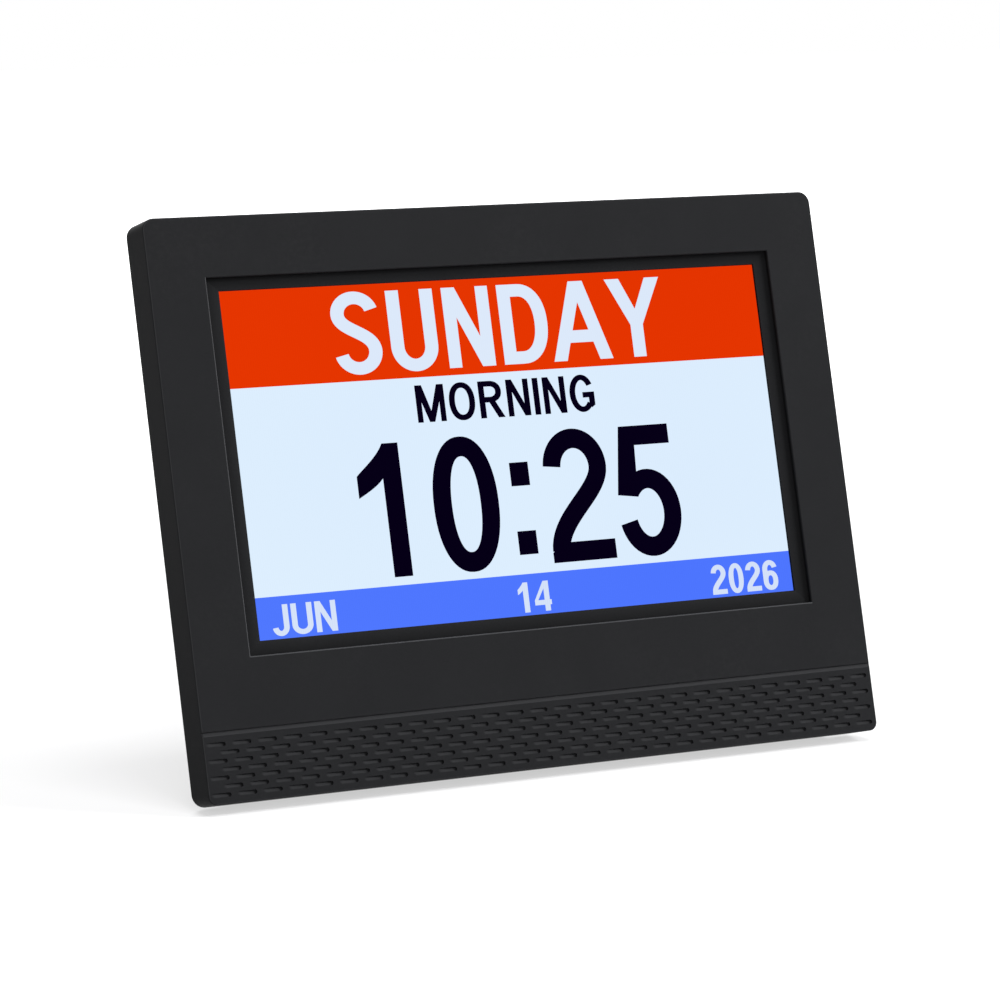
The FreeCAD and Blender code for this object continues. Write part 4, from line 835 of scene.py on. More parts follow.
SLOT_FINISHES: dict[str, Finish] = {
    "case_plastic": FrontPlastic("charcoal_case", CHARCOAL),
    "cover_plastic": MouldedPlastic("charcoal_cover", CHARCOAL, roughness=(0.42, 0.56), ior=1.2,
                                    grain=0.4, relief=0.02),
    "leg_plastic": MouldedPlastic("charcoal_leg", (0.021, 0.0214, 0.0228), ior=1.2,
                                  roughness=(0.38, 0.5), grain=0.34),
    "key_plastic": MouldedPlastic("charcoal_keys", (0.024, 0.0243, 0.0255), ior=1.25,
                                  roughness=(0.3, 0.42), grain=0.2, relief=0.006),
    "foot_rubber": CellStuff("black_rubber", (0.016, 0.016, 0.016), cell=0.6, relief=0.02,
                             roughness=(0.7, 0.85)),
    "foam": CellStuff("black_foam", (0.02, 0.02, 0.021), cell=0.5, relief=0.1),
    "display": DarkPanel("display_glass", (0.006, 0.0065, 0.0075)),
    "steel": BareMetal("rolled_steel", (0.56, 0.57, 0.58)),
    "screw_steel": BareMetal("plated_screws", (0.48, 0.47, 0.45), roughness=(0.22, 0.34),
                             streak=0.08),
    "white_sheet": CellStuff("white_film", (0.78, 0.79, 0.8), cell=0.12, relief=0.004,
                             roughness=(0.4, 0.55), contrast=0.05),
    "clear_plastic": ClearPlate("light_guide_acrylic", (0.93, 0.96, 0.97)),
    "led_strip": CellStuff("led_phosphor", (0.82, 0.74, 0.36), cell=0.3, relief=0.01,
                           roughness=(0.35, 0.5), contrast=0.12),
    "circuit_board": VarnishedBoard("green_board", (0.006, 0.055, 0.025), (0.018, 0.12, 0.055)),
    "chip_plastic": MouldedPlastic("chip_resin", (0.018, 0.018, 0.019), roughness=(0.5, 0.66),
                                   grain=0.14, relief=0.01, dust=0.0),
    "switch_plastic": MouldedPlastic("black_nylon", (0.012, 0.012, 0.012), roughness=(0.36, 0.5),
                                     grain=0.3, relief=0.006, dust=0.0),
    "connector_plastic": MouldedPlastic("ivory_nylon", (0.62, 0.58, 0.48), roughness=(0.36, 0.5),
                                        grain=0.4, relief=0.006, contrast=0.05, dust=0.0),
    "ferrite": CellStuff("grey_ferrite", (0.055, 0.056, 0.06), cell=0.16, relief=0.01,
                         roughness=(0.5, 0.7)),
    "capacitor_can": BareMetal("capacitor_can", (0.72, 0.73, 0.74), roughness=(0.18, 0.3)),
    "cell_steel": BareMetal("cell_steel", (0.68, 0.68, 0.66), roughness=(0.16, 0.26),
                            streak=0.12),
    "pin_brass": BareMetal("tinned_brass", (0.72, 0.62, 0.38), roughness=(0.18, 0.3)),
    "flat_cable": CellStuff("cable_film", (0.7, 0.72, 0.74), cell=0.22, relief=0.004,
                            roughness=(0.3, 0.44), contrast=0.06, specular=0.5),
    "speaker_paper": CellStuff("pressed_paper", (0.028, 0.027, 0.026), cell=0.7, relief=0.05),
    "wire_jacket": MouldedPlastic("wire_jacket", (0.32, 0.014, 0.012), roughness=(0.34, 0.46),
                                  grain=0.5, relief=0.004, dust=0.0),
}


# ---- flat artwork


@dataclass(frozen=True)
class Shape:
    """A closed outline in the plane of the artwork that adds ink or takes it away."""

    points: tuple[Point, ...]
    ink: bool = True

    def placed(self, x: float, z: float, size: float) -> "Shape":
        """Gives the outline enlarged and moved."""
        return Shape(tuple((x + size * px, z + size * pz) for px, pz in self.points), self.ink)

    def signed_area(self) -> float:
        """Gives the area, positive when the outline runs anticlockwise."""
        turned = self.points[1:] + self.points[:1]
        return sum(a[0] * b[1] - b[0] * a[1] for a, b in zip(self.points, turned)) / 2

    def anticlockwise(self) -> list[Point]:
        """Gives the points in anticlockwise order."""
        return list(self.points) if self.signed_area() > 0 else list(reversed(self.points))


Glyph = tuple[float, list[Shape]]


def cut(points: Iterable[Point]) -> Shape:
    """Makes an outline that takes ink away."""
    return Shape(tuple(points), False)


def polygon(*points: Point) -> Shape:
    """Makes an outline that adds ink."""
    return Shape(tuple(points))


def block(left: float, low: float, right: float, high: float) -> Shape:
    """Makes an upright rectangle of ink."""
    return polygon((left, low), (right, low), (right, high), (left, high))


def arc(x: float, z: float, wide: float, tall: float, start: float, end: float,
        steps: int = 28) -> list[Point]:
    """Gives points along part of an ellipse.

    Args:
        x: Middle of the ellipse across.
        z: Middle of the ellipse upwards.
        wide: Half of its width.
        tall: Half of its height.
        start: First angle in degrees.
        end: Last angle in degrees.
        steps: Number of runs.

    Returns:
        The points in order.
    """
    turns = [math.radians(start + (end - start) * step / steps) for step in range(steps + 1)]
    return [(x + wide * math.cos(turn), z + tall * math.sin(turn)) for turn in turns]


def oval(x: float, z: float, wide: float, tall: float, square: float,
         steps: int = 56) -> list[Point]:
    """Gives points round an oval that is a little square.

    Args:
        x: Middle across.
        z: Middle upwards.
        wide: Half of its width.
        tall: Half of its height.
        square: 2 for an ellipse, and more for a squarer form.
        steps: Number of runs.

    Returns:
        The points in order.
    """
    def full(share: float) -> float:
        """Moves a sine or cosine outwards by the squareness."""
        return math.copysign(abs(share) ** (2 / square), share)
    turns = [math.tau * step / steps for step in range(steps)]
    return [(x + wide * full(math.cos(turn)), z + tall * full(math.sin(turn))) for turn in turns]


def bezier(start: Point, first: Point, second: Point, end: Point, steps: int = 18) -> list[Point]:
    """Gives points along a cubic curve.

    Args:
        start: Where the curve starts.
        first: The point that it leaves towards.
        second: The point that it arrives from.
        end: Where it ends.
        steps: Number of runs.

    Returns:
        The points in order.
    """
    points = []
    for t in (step / steps for step in range(steps + 1)):
        u = 1 - t
        weights = (u ** 3, 3 * u * u * t, 3 * u * t * t, t ** 3)
        points.append(tuple(sum(weight * corner for weight, corner in zip(weights, axis))
                            for axis in zip(start, first, second, end)))
    return points


KERNING = {"AY": -0.13, "DA": -0.09, "RN": -0.02}


@dataclass(frozen=True)
class Typeface:
    """Bold upright letters and figures one unit high, drawn by a pen of set widths.

    The method of each letter or figure gives its width and its outlines.
    """

    stem: float = 0.195
    bar: float = 0.165
    width: float = 1.0
    gap: float = 0.1
    after_one: float = 0.11
    by_colon: float = 0.0
    over: float = 0.012
    square: float = 2.2

    def stroke(self, path: Sequence[Point]) -> Shape:
        """Draws a pen along a path, wide where it runs upright and thinner where it runs level.

        Args:
            path: The points that the middle of the pen passes.

        Returns:
            The outline of the line that it leaves.
        """
        half_stem, half_bar = self.stem / 2, self.bar / 2
        left, right = [], []
        for index, (x, z) in enumerate(path):
            before, after = path[max(index - 1, 0)], path[min(index + 1, len(path) - 1)]
            along_x, along_z = after[0] - before[0], after[1] - before[1]
            length = math.hypot(along_x, along_z)
            side_x, side_z = -along_z / length, along_x / length
            reach = math.hypot(half_stem * side_x, half_bar * side_z)
            step_x = half_stem ** 2 * side_x / reach
            step_z = half_bar ** 2 * side_z / reach
            left.append((x + step_x, z + step_z))
            right.append((x - step_x, z - step_z))
        return polygon(*left, *reversed(right))

    def ring(self, wide: float, low: float, high: float) -> list[Shape]:
        """Draws a closed round form with its counter.

        Args:
            wide: Its width.
            low: Height of its foot.
            high: Height of its top.

        Returns:
            The outer and the inner outline.
        """
        middle, half = (low + high) / 2, (high - low) / 2
        inner = oval(wide / 2, middle, wide / 2 - self.stem, half - self.bar, self.square)
        return [polygon(*oval(wide / 2, middle, wide / 2, half, self.square)), cut(inner)]

    def bowl(self, wide: float, low: float, high: float, turn: float) -> list[Shape]:
        """Draws a form that is flat on the left and round on the right.

        Args:
            wide: Its width.
            low: Height of its foot.
            high: Height of its top.
            turn: Where its level runs start to turn.

        Returns:
            The outer and the inner outline.
        """
        middle, half = (low + high) / 2, (high - low) / 2
        rounded = (point for point in oval(0, 0, 1, 1, self.square) if point[0] > ROUNDING)
        side = [(0.0, -1.0), *sorted(rounded, key=lambda point: point[1]), (0.0, 1.0)]
        outer = [(turn + x * (wide - turn), middle + z * half) for x, z in side]
        inner = [(turn + x * (wide - self.stem - turn), middle + z * (half - self.bar))
                 for x, z in side]
        return [polygon((0, low), *outer, (0, high)),
                cut([(self.stem, low + self.bar), *inner, (self.stem, high - self.bar)])]

    def top_bend(self, wide: float, middle: float, start: float, end: float) -> list[Point]:
        """Gives the pen's path round the top of a letter, from one angle to another."""
        tall = 1 - self.bar / 2 - middle + self.over
        return arc(wide / 2, middle, (wide - self.stem) / 2, tall, start, end)

    def foot_bend(self, wide: float, middle: float, start: float, end: float,
                  steps: int = 28) -> list[Point]:
        """Gives the pen's path round the foot of a letter, from one angle to another."""
        tall = middle - self.bar / 2 + self.over
        return arc(wide / 2, middle, (wide - self.stem) / 2, tall, start, end, steps)

    def letter_a(self) -> Glyph:
        """Draws A.

        Returns:
            Its width and its outlines.
        """
        wide, foot, top = 0.92 * self.width, 1.04 * self.stem, 0.56 * self.stem
        inside = (wide / 2 - foot) / (wide / 2 - top)
        legs = polygon((0, 0), (foot, 0), (wide / 2, inside), (wide - foot, 0), (wide, 0),
                       (wide / 2 + top, 1), (wide / 2 - top, 1))
        low = 0.225
        high = low + self.bar
        low_side, high_side = (z * (wide / 2 - top) + foot / 2 for z in (low, high))
        return wide, [legs, polygon((low_side, low), (wide - low_side, low),
                                    (wide - high_side, high), (high_side, high))]

    def letter_d(self) -> Glyph:
        """Draws D."""
        wide = 0.72 * self.width
        return wide, self.bowl(wide, 0, 1, 0.42 * wide)

    def letter_g(self) -> Glyph:
        """Draws G.

        Returns:
            Its width and its outlines.
        """
        wide = 0.78 * self.width
        tall = (1 - self.bar) / 2 + self.over
        hook = self.stroke(arc(wide / 2, 0.5, (wide - self.stem) / 2, tall, 30, 322, 44))
        spur = polygon((wide - self.stem, 0.53), (wide - self.stem, 0.2),
                       (wide - 0.6 * self.stem, 0.1), (wide, 0.17), (wide, 0.53))
        return wide, [hook, spur, block(0.52 * wide, 0.53 - self.bar, wide, 0.53)]

    def letter_i(self) -> Glyph:
        """Draws I."""
        return self.stem, [block(0, 0, self.stem, 1)]

    def letter_j(self) -> Glyph:
        """Draws J.

        Returns:
            Its width and its outlines.
        """
        wide = 0.56 * self.width
        top = wide - self.stem / 2
        return wide, [self.stroke([(top, 1), (top, 0.62)] + self.foot_bend(wide, 0.29, 0, -172))]

    def letter_m(self) -> Glyph:
        """Draws M.

        Returns:
            Its width and its outlines.
        """
        wide, top, foot = 0.88 * self.width, 1.16 * self.stem, 0.44 * self.stem
        side = 0.92 * self.stem
        notch = polygon((0, 1), (top, 1), (wide / 2, 0.3), (wide - top, 1), (wide, 1),
                        (wide / 2 + foot, 0), (wide / 2 - foot, 0))
        return wide, [block(0, 0, side, 1), block(wide - side, 0, wide, 1), notch]

    def letter_n(self) -> Glyph:
        """Draws N.

        Returns:
            Its width and its outlines.
        """
        wide, slant, side = 0.7 * self.width, 1.02 * self.stem, 0.96 * self.stem
        return wide, [block(0, 0, side, 1), block(wide - side, 0, wide, 1),
                      polygon((0, 1), (slant, 1), (wide, 0), (wide - slant, 0))]

    def letter_o(self) -> Glyph:
        """Draws O."""
        wide = 0.8 * self.width
        return wide, self.ring(wide, -self.over, 1 + self.over)

    def letter_r(self) -> Glyph:
        """Draws R.

        Returns:
            Its width and its outlines.
        """
        wide, low = 0.76 * self.width, 0.42
        leg = polygon((0.36 * wide, low + self.bar), (0.6 * wide, low + 0.7 * self.bar),
                      (0.72 * wide, low - 0.06), (wide, 0), (wide - 1.15 * self.stem, 0),
                      (0.5 * wide, low - 0.12), (0.4 * wide, low + 0.01), (0.3 * wide, low + 0.01))
        return wide, self.bowl(0.93 * wide, low, 1, 0.45 * wide) + [block(0, 0, self.stem, 1), leg]

    def letter_s(self) -> Glyph:
        """Draws S.

        Returns:
            Its width and its outlines.
        """
        wide, high, low = 0.7 * self.width, 0.735, 0.275
        top = self.top_bend(wide, high, 14, 180)
        foot = self.foot_bend(wide, low, 0, -168)
        spine = bezier(top[-1], (top[-1][0], high - 0.21), (foot[0][0], low + 0.235), foot[0])
        return wide, [self.stroke(top + spine[1:] + foot[1:])]

    def letter_u(self) -> Glyph:
        """Draws U.

        Returns:
            Its width and its outlines.
        """
        wide = 0.7 * self.width
        left, right = self.stem / 2, wide - self.stem / 2
        bend = self.foot_bend(wide, 0.3, 180, 360)
        return wide, [self.stroke([(left, 1), (left, 0.6), *bend, (right, 0.6), (right, 1)])]

    def letter_y(self) -> Glyph:
        """Draws Y.

        Returns:
            Its width and its outlines.
        """
        wide, arm, half = 0.86 * self.width, 1.16 * self.stem, self.stem / 2
        return wide, [polygon((0, 1), (arm, 1), (wide / 2, 0.61), (wide - arm, 1), (wide, 1),
                              (wide / 2 + half, 0.41), (wide / 2 + half, 0),
                              (wide / 2 - half, 0), (wide / 2 - half, 0.41))]

    def colon(self) -> Glyph:
        """Draws the colon between hours and minutes."""
        wide = 0.161
        return wide, [block(0, 0.084, wide, 0.263), block(0, 0.606, wide, 0.785)]

    def figure_0(self) -> Glyph:
        """Draws 0."""
        wide = 0.545 * self.width
        return wide, self.ring(wide, -self.over, 1 + self.over)

    def figure_1(self) -> Glyph:
        """Draws 1.

        Returns:
            Its width and its outlines.
        """
        wide = 0.365 * self.width
        left = wide - self.stem
        front = bezier((left + 0.02, 1), (left - 0.03, 0.9), (0.08 * wide, 0.8), (0, 0.765))
        back = bezier((0, 0.6), (0.15 * wide, 0.63), (left - 0.05, 0.68), (left, 0.74))
        return wide, [block(left, 0, wide, 0.8), polygon((wide, 1), *front, *back, (wide, 0.74))]

    def figure_2(self) -> Glyph:
        """Draws 2.

        Returns:
            Its width and its outlines.
        """
        wide, high, foot = 0.545 * self.width, 0.715, self.stem / 2
        top = self.top_bend(wide, high, 176, 0)
        leg = bezier(top[-1], (top[-1][0], high - 0.2), (foot, 0.34), (foot, 0.55 * self.bar))
        base = polygon((0, 0), (wide, 0), (wide, self.bar), (foot, self.bar), (0, foot))
        return wide, [self.stroke(top + leg[1:]), base]

    def figure_4(self) -> Glyph:
        """Draws 4.

        Returns:
            Its width and its outlines.
        """
        wide, low = 0.59 * self.width, 0.205
        post, high = 0.585 * wide, low + self.bar
        slope = polygon((0, low), (post + self.stem, low), (post + self.stem, 1), (post, 1), (0, high))
        return wide, [block(0, low, wide, high), block(post, 0, post + self.stem, 1), slope,
                      cut([(0.205 * wide, high), (post, high), (post, high + 0.375)])]

    def figure_5(self) -> Glyph:
        """Draws 5.

        Returns:
            Its width and its outlines.
        """
        wide = 0.545 * self.width
        left = 0.15 * wide
        flag = polygon((left, 1), (left + 0.86 * self.stem, 1), (0.34 * wide, 0.452),
                       (0.02 * wide, 0.475))
        return wide, [self.stroke(self.foot_bend(wide, 0.325, 140, -166, 40)),
                      block(left, 1 - self.bar, 0.94 * wide, 1), flag]

    def figure_6(self) -> Glyph:
        """Draws 6.

        Returns:
            Its width and its outlines.
        """
        wide = 0.545 * self.width
        hook = self.top_bend(wide, 0.7, 14, 180) + [(self.stem / 2, 0.33)]
        return wide, [self.stroke(hook)] + self.ring(wide, -self.over, 0.655)

    def glyph(self, letter: str) -> Glyph:
        """Draws a letter.

        Args:
            letter: A capital letter, a figure or a colon.

        Returns:
            Its width and its outlines.
        """
        if letter == ":":
            return self.colon()
        kind = "figure_" if letter.isdigit() else "letter_"
        return getattr(self, kind + letter.lower())()

    def word(self, text: str) -> Glyph:
        """Sets a word.

        Args:
            text: The word or figures.

        Returns:
            Its width and its outlines, one unit high.
        """
        x, shapes = 0.0, []
        for index, letter in enumerate(text):
            pair = text[index:index + 2]
            wide, drawn = self.glyph(letter)
            shapes += [shape.placed(x, 0, 1) for shape in drawn]
            x += wide + self.gap + KERNING.get(pair, 0.0)
            if letter == "1":
                x += self.after_one
            if ":" in pair:
                x += self.by_colon
        return x - self.gap, shapes


def add_object(name: str, data: bpy.types.ID) -> bpy.types.Object:
    """Makes an object of its data at the origin and links it to the scene.

    Args:
        name: Name of the object.
        data: Its mesh, lamp or camera.

    Returns:
        The object.
    """
    made = bpy.data.objects.new(name, data)
    bpy.context.scene.collection.objects.link(made)
    return made


def add_mesh(name: str, mesh: bmesh.types.BMesh,
             materials: Sequence[bpy.types.Material]) -> bpy.types.Object:
    """Makes an object from a finished mesh.

    Args:
        name: Name of the object.
        mesh: The mesh in metres; it is freed.
        materials: Its materials.

    Returns:
        The object.
    """
    data = bpy.data.meshes.new(name)
    mesh.to_mesh(data)
    mesh.free()
    for material in materials:
        data.materials.append(material)
    return add_object(name, data)


class Film:
    """A thin closed film made of flat regions, each with a material of its own."""

    def __init__(self, name: str, thickness: float) -> None:
        """Starts an empty film.

        Args:
            name: Name of the object.
            thickness: Thickness in mm, towards the front of the artwork.
        """
        self.name = name
        self.thickness = thickness
        self.layers: list[tuple[Shape, Optional[int], bool]] = []

    def ground(self, shape: Shape, material: int) -> None:
        """Adds a field of one material."""
        self.layers.append((shape, material, False))

    def print(self, shapes: Sequence[Shape], material: int) -> None:
        """Adds outlines of one material, in the order in which they cover each other."""
        self.layers += [(shape, material if shape.ink else None, True) for shape in shapes]

    def material_at(self, layers: Sequence[int]) -> Optional[int]:
        """Finds what a region shows.

        Args:
            layers: Numbers of the layers that the region lies in.

        Returns:
            The number of its material, or None if it is bare.
        """
        shown: Optional[int] = None
        below: Optional[int] = None
        for index in sorted(layers):
            _, material, printed = self.layers[index]
            if printed:
                shown = material
            else:
                below = material
        return below if shown is None else shown

    def build(self, place: Matrix, materials: Sequence[bpy.types.Material]) -> bpy.types.Object:
        """Cuts the film into triangles, gives it a thickness and puts it in place.

        Args:
            place: Matrix from the artwork, x across, y back and z up in mm, to the model.
            materials: The materials by number.

        Returns:
            The new object.
        """
        corners: list[Vector] = []
        faces: list[list[int]] = []
        for shape, _, _ in self.layers:
            first = len(corners)
            corners += [Vector(point) for point in shape.anticlockwise()]
            faces.append(list(range(first, len(corners))))
        spots, _, triangles, _, _, sources = delaunay_2d_cdt(corners, [], faces, INSIDE_OUTLINES,
                                                             WELD_GAP)
        mesh = bmesh.new()
        points = [mesh.verts.new((spot.x, 0.0, spot.y)) for spot in spots]
        for triangle, layers in zip(triangles, sources):
            material = self.material_at(layers)
            if material is not None:
                face = mesh.faces.new([points[index] for index in triangle])
                face.material_index = material
        loose = [vert for vert in mesh.verts if not vert.link_faces]
        bmesh.ops.delete(mesh, geom=loose, context="VERTS")
        grown = bmesh.ops.extrude_face_region(mesh, geom=list(mesh.faces))
        front = [item for item in grown["geom"] if isinstance(item, bmesh.types.BMVert)]
        bmesh.ops.translate(mesh, vec=(0.0, -self.thickness, 0.0), verts=front)
        bmesh.ops.recalc_face_normals(mesh, faces=list(mesh.faces))
        mesh.transform(place)
        return add_mesh(self.name, mesh, materials)


# ---- the display


class Ink(IntEnum):
    """The colours of the display, by the number of their material."""

    RED = 0
    WHITE = 1
    BLUE = 2
    TEXT_ON_RED = 3
    TEXT_DARK = 4
    TEXT_ON_BLUE = 5


class Align(Enum):
    """Which edge of a row of text is given."""

    LEFT = 0.0
    MIDDLE = 0.5
    RIGHT = 1.0


@dataclass(frozen=True)
class TextRow:
    """One row of the picture, measured in mm from the lower left corner of the picture."""

    text: str
    ink: Ink
    face: Typeface
    height: float
    baseline: float
    x: float
    align: Align = Align.MIDDLE

    def shapes(self) -> list[Shape]:
        """Sets the row.

        Returns:
            Its outlines in place.
        """
        wide, shapes = self.face.word(self.text)
        left = self.x - self.align.value * wide * self.height
        return [shape.placed(left, self.baseline, self.height) for shape in shapes]


@dataclass
class DisplayPicture:
    """What the lit display shows: a day, a part of the day, a time and a date."""

    lean: Lean
    width: float = 154.2
    height: float = 85.9
    middle_height: float = 81.4
    glass_plane: float = 2.2
    thickness: float = 0.03
    red_band: float = 24.1
    blue_band: float = 10.4

    def rows(self) -> list[TextRow]:
        """Lays out the text.

        Returns:
            The rows.
        """
        day = Typeface(stem=0.182, bar=0.155, width=0.93, gap=0.125)
        part = Typeface(stem=0.178, bar=0.15, width=0.98, gap=0.13)
        time = Typeface(stem=0.154, bar=0.15, width=1.015, gap=0.062, after_one=0.18, by_colon=0.064)
        date = Typeface(stem=0.2, width=1.08)
        return [
            TextRow("SUNDAY", Ink.TEXT_ON_RED, day, 20.4, 63.6, 77.5),
            TextRow("MORNING", Ink.TEXT_DARK, part, 9.4, 50.4, 76.3),
            TextRow("10:25", Ink.TEXT_DARK, time, 33.4, 12.5, 77.5),
            TextRow("JUN", Ink.TEXT_ON_BLUE, date, 7.6, 0.75, 4.0, Align.LEFT),
            TextRow("14", Ink.TEXT_ON_BLUE, date, 7.6, 0.75, 77.5),
            TextRow("2026", Ink.TEXT_ON_BLUE, date, 7.6, 0.75, 150.0, Align.RIGHT),
        ]

    def materials(self) -> list[bpy.types.Material]:
        """Builds the glowing colours.

        Returns:
            The materials in the order of Ink.
        """
        return [colour.material() for colour in (
            Lit("lit_red", linear(232, 56, 2), linear(228, 51, 0), depth=0.02),
            Lit("lit_white", linear(223, 240, 255), linear(219, 236, 254), depth=0.012),
            Lit("lit_blue", linear(81, 121, 255), linear(75, 115, 255), depth=0.015),
            Lit("lit_text_on_red", linear(224, 236, 252), linear(219, 232, 250), depth=0.012),
            Lit("lit_text_dark", linear(5, 0, 20), linear(7, 1, 24), depth=0.0),
            Lit("lit_text_on_blue", linear(217, 229, 251), linear(211, 225, 250), depth=0.04),
        )]

    def build(self) -> bpy.types.Object:
        """Builds the picture as a film on the glass of the display.

        Returns:
            The film.
        """
        film = Film("display_picture", self.thickness)
        red = self.height - self.red_band
        film.ground(block(0, red, self.width, self.height), Ink.RED)
        film.ground(block(0, self.blue_band, self.width, red), Ink.WHITE)
        film.ground(block(0, 0, self.width, self.blue_band), Ink.BLUE)
        for row in self.rows():
            film.print(row.shapes(), row.ink)
        corner = Matrix.Translation((-self.width / 2, self.glass_plane,
                                     self.middle_height - self.height / 2))
        made = film.build(self.lean.matrix() @ corner, self.materials())
        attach(made, "case")
        log.info("display picture: %d faces", len(made.data.polygons))
        return made


# ---- the keys


class Mark(Enum):
    """Generic pictograms on the keys."""

    POWER = "power"
    MENU = "menu"
    UP = "up"
    DOWN = "down"
    ENTER = "enter"
    BACK = "back"


@dataclass
class KeyMarks:
    """Printed marks on the caps of the six keys at the back."""

    lean: Lean
    pitch: float = 15.0
    height: float = 123.0
    cap_plane: float = 24.8
    size: float = 3.0
    line: float = 0.14
    thickness: float = 0.03

    def pen(self, *path: Point) -> Shape:
        """Draws an even line along a path."""
        return Typeface(stem=self.line, bar=self.line).stroke(path)

    def shapes(self, mark: Mark) -> list[Shape]:
        """Draws a mark one unit high round the origin.

        Args:
            mark: The mark that is wanted.

        Returns:
            Its outlines.
        """
        half = 0.5
        if mark is Mark.POWER:
            return [self.pen(*arc(0, -0.06, 0.42, 0.42, 125, 415, 40)),
                    self.pen((0, 0.04), (0, half))]
        if mark is Mark.MENU:
            return [block(-half, z - self.line / 2, half, z + self.line / 2)
                    for z in (-0.32, 0.0, 0.32)]
        if mark is Mark.UP:
            return [polygon((-half, -0.32), (half, -0.32), (0, 0.42))]
        if mark is Mark.DOWN:
            return [polygon((-half, 0.32), (half, 0.32), (0, -0.42))]
        if mark is Mark.ENTER:
            return [self.pen((-0.45, 0.02), (-0.3, -0.13), (-0.15, -0.28)),
                    self.pen((-0.15, -0.28), (0.15, 0.06), (0.45, 0.4))]
        return [self.pen((-0.22, 0.18), *arc(0.12, -0.08, 0.26, 0.26, 90, -90), (-0.3, -0.34)),
                polygon((-0.22, -0.08), (-0.22, 0.44), (-half, 0.18))]

    def build(self) -> list[bpy.types.Object]:
        """Prints each mark on its key, seen from behind the clock.

        Returns:
            The marks.
        """
        ink = PrintedInk("mark_ink", linear(206, 208, 210)).material()
        facing_back = Matrix.Rotation(math.pi, 4, "Z")
        made = []
        for index, mark in enumerate(Mark):
            film = Film(f"{mark.value}_mark", self.thickness)
            film.print([shape.placed(0, 0, self.size) for shape in self.shapes(mark)], 0)
            x = (index - (len(Mark) - 1) / 2) * self.pitch
            centre = Matrix.Translation((x, self.cap_plane, self.height))
            item = film.build(self.lean.matrix() @ centre @ facing_back, [ink])
            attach(item, f"{mark.value}_key")
            made.append(item)
            log.info("%s mark: %d faces", mark.value, len(item.data.polygons))
        return made


# ---- repeated small parts


class Repeat:
    """A Geometry Nodes tree that puts one small form on a grid of points."""

    SIZES = {"Columns": "Int", "Rows": "Int", "Column Pitch": "Float", "Row Pitch": "Float",
             "Form Size": "Vector", "Corner Cut": "Float"}

    def __init__(self, name: str) -> None:
        """Starts the tree with its grid inputs.

        Args:
            name: Name of the tree and of the piece.
        """
        self.name = name
        tree = bpy.data.node_groups.new(name, "GeometryNodeTree")
        self.sockets = {
            label: tree.interface.new_socket(label, in_out="INPUT",
                                             socket_type=f"NodeSocket{kind}").identifier
            for label, kind in self.SIZES.items()}
        tree.interface.new_socket("Geometry", in_out="OUTPUT", socket_type="NodeSocketGeometry")
        self.graph = Graph(tree)
        self.given = self.graph.terms("NodeGroupInput")

    def grid_points(self) -> Term:
        """Adds the grid of points in the plane of x and z.

        Returns:
            The points.
        """
        columns, rows = self.given["Columns"], self.given["Rows"]
        grid = self.graph.term("GeometryNodeMeshGrid", {
            "Size X": self.given["Column Pitch"] * (columns - 1.0),
            "Size Y": self.given["Row Pitch"] * (rows - 1.0),
            "Vertices X": columns, "Vertices Y": rows}, output="Mesh")
        return self.graph.term("GeometryNodeTransform", {
            "Geometry": grid, "Rotation": (math.pi / 2, 0.0, 0.0)})

    def form(self) -> Term:
        """Adds the small form: a block whose top is drawn in by the corner cut.

        Returns:
            The form.
        """
        cube = self.graph.term("GeometryNodeMeshCube", {"Size": self.given["Form Size"]},
                               output="Mesh")
        normal = self.graph.term("GeometryNodeInputNormal")
        level = self.graph.terms("ShaderNodeSeparateXYZ", {0: normal})["Y"]
        top = self.graph.term("FunctionNodeCompare", {0: level, 1: 0.5}, operation="GREATER_THAN")
        return self.graph.term("GeometryNodeScaleElements", {
            "Geometry": cube, "Selection": top, "Scale": 1.0 - self.given["Corner Cut"]})

    def build(self, place: Matrix, material: bpy.types.Material,
              **inputs: Union[int, float, Triple]) -> bpy.types.Object:
        """Runs the tree once and keeps the result as a plain mesh.

        Args:
            place: Matrix from the grid, in mm, to the model.
            material: Material of every form.
            **inputs: The tree's inputs, with underscores for spaces.

        Returns:
            The new object at the origin.
        """
        spread = self.graph.term("GeometryNodeInstanceOnPoints", {
            "Points": self.grid_points(), "Instance": self.form()})
        real = self.graph.term("GeometryNodeRealizeInstances", {0: spread})
        dressed = self.graph.term("GeometryNodeSetMaterial", {
            "Geometry": real, "Material": material})
        host = add_object(self.name + "_host", bpy.data.meshes.new(self.name))
        modifier = host.modifiers.new("repeat", "NODES")
        modifier.node_group = self.graph.finish(Geometry=dressed)
        for label, value in inputs.items():
            modifier[self.sockets[label.replace("_", " ")]] = value
        evaluated = host.evaluated_get(bpy.context.evaluated_depsgraph_get())
        data = bpy.data.meshes.new_from_object(evaluated)
        host.modifiers.clear()
        bpy.data.objects.remove(host)
        data.transform(place)
        data.name = self.name
        return add_object(self.name, data)


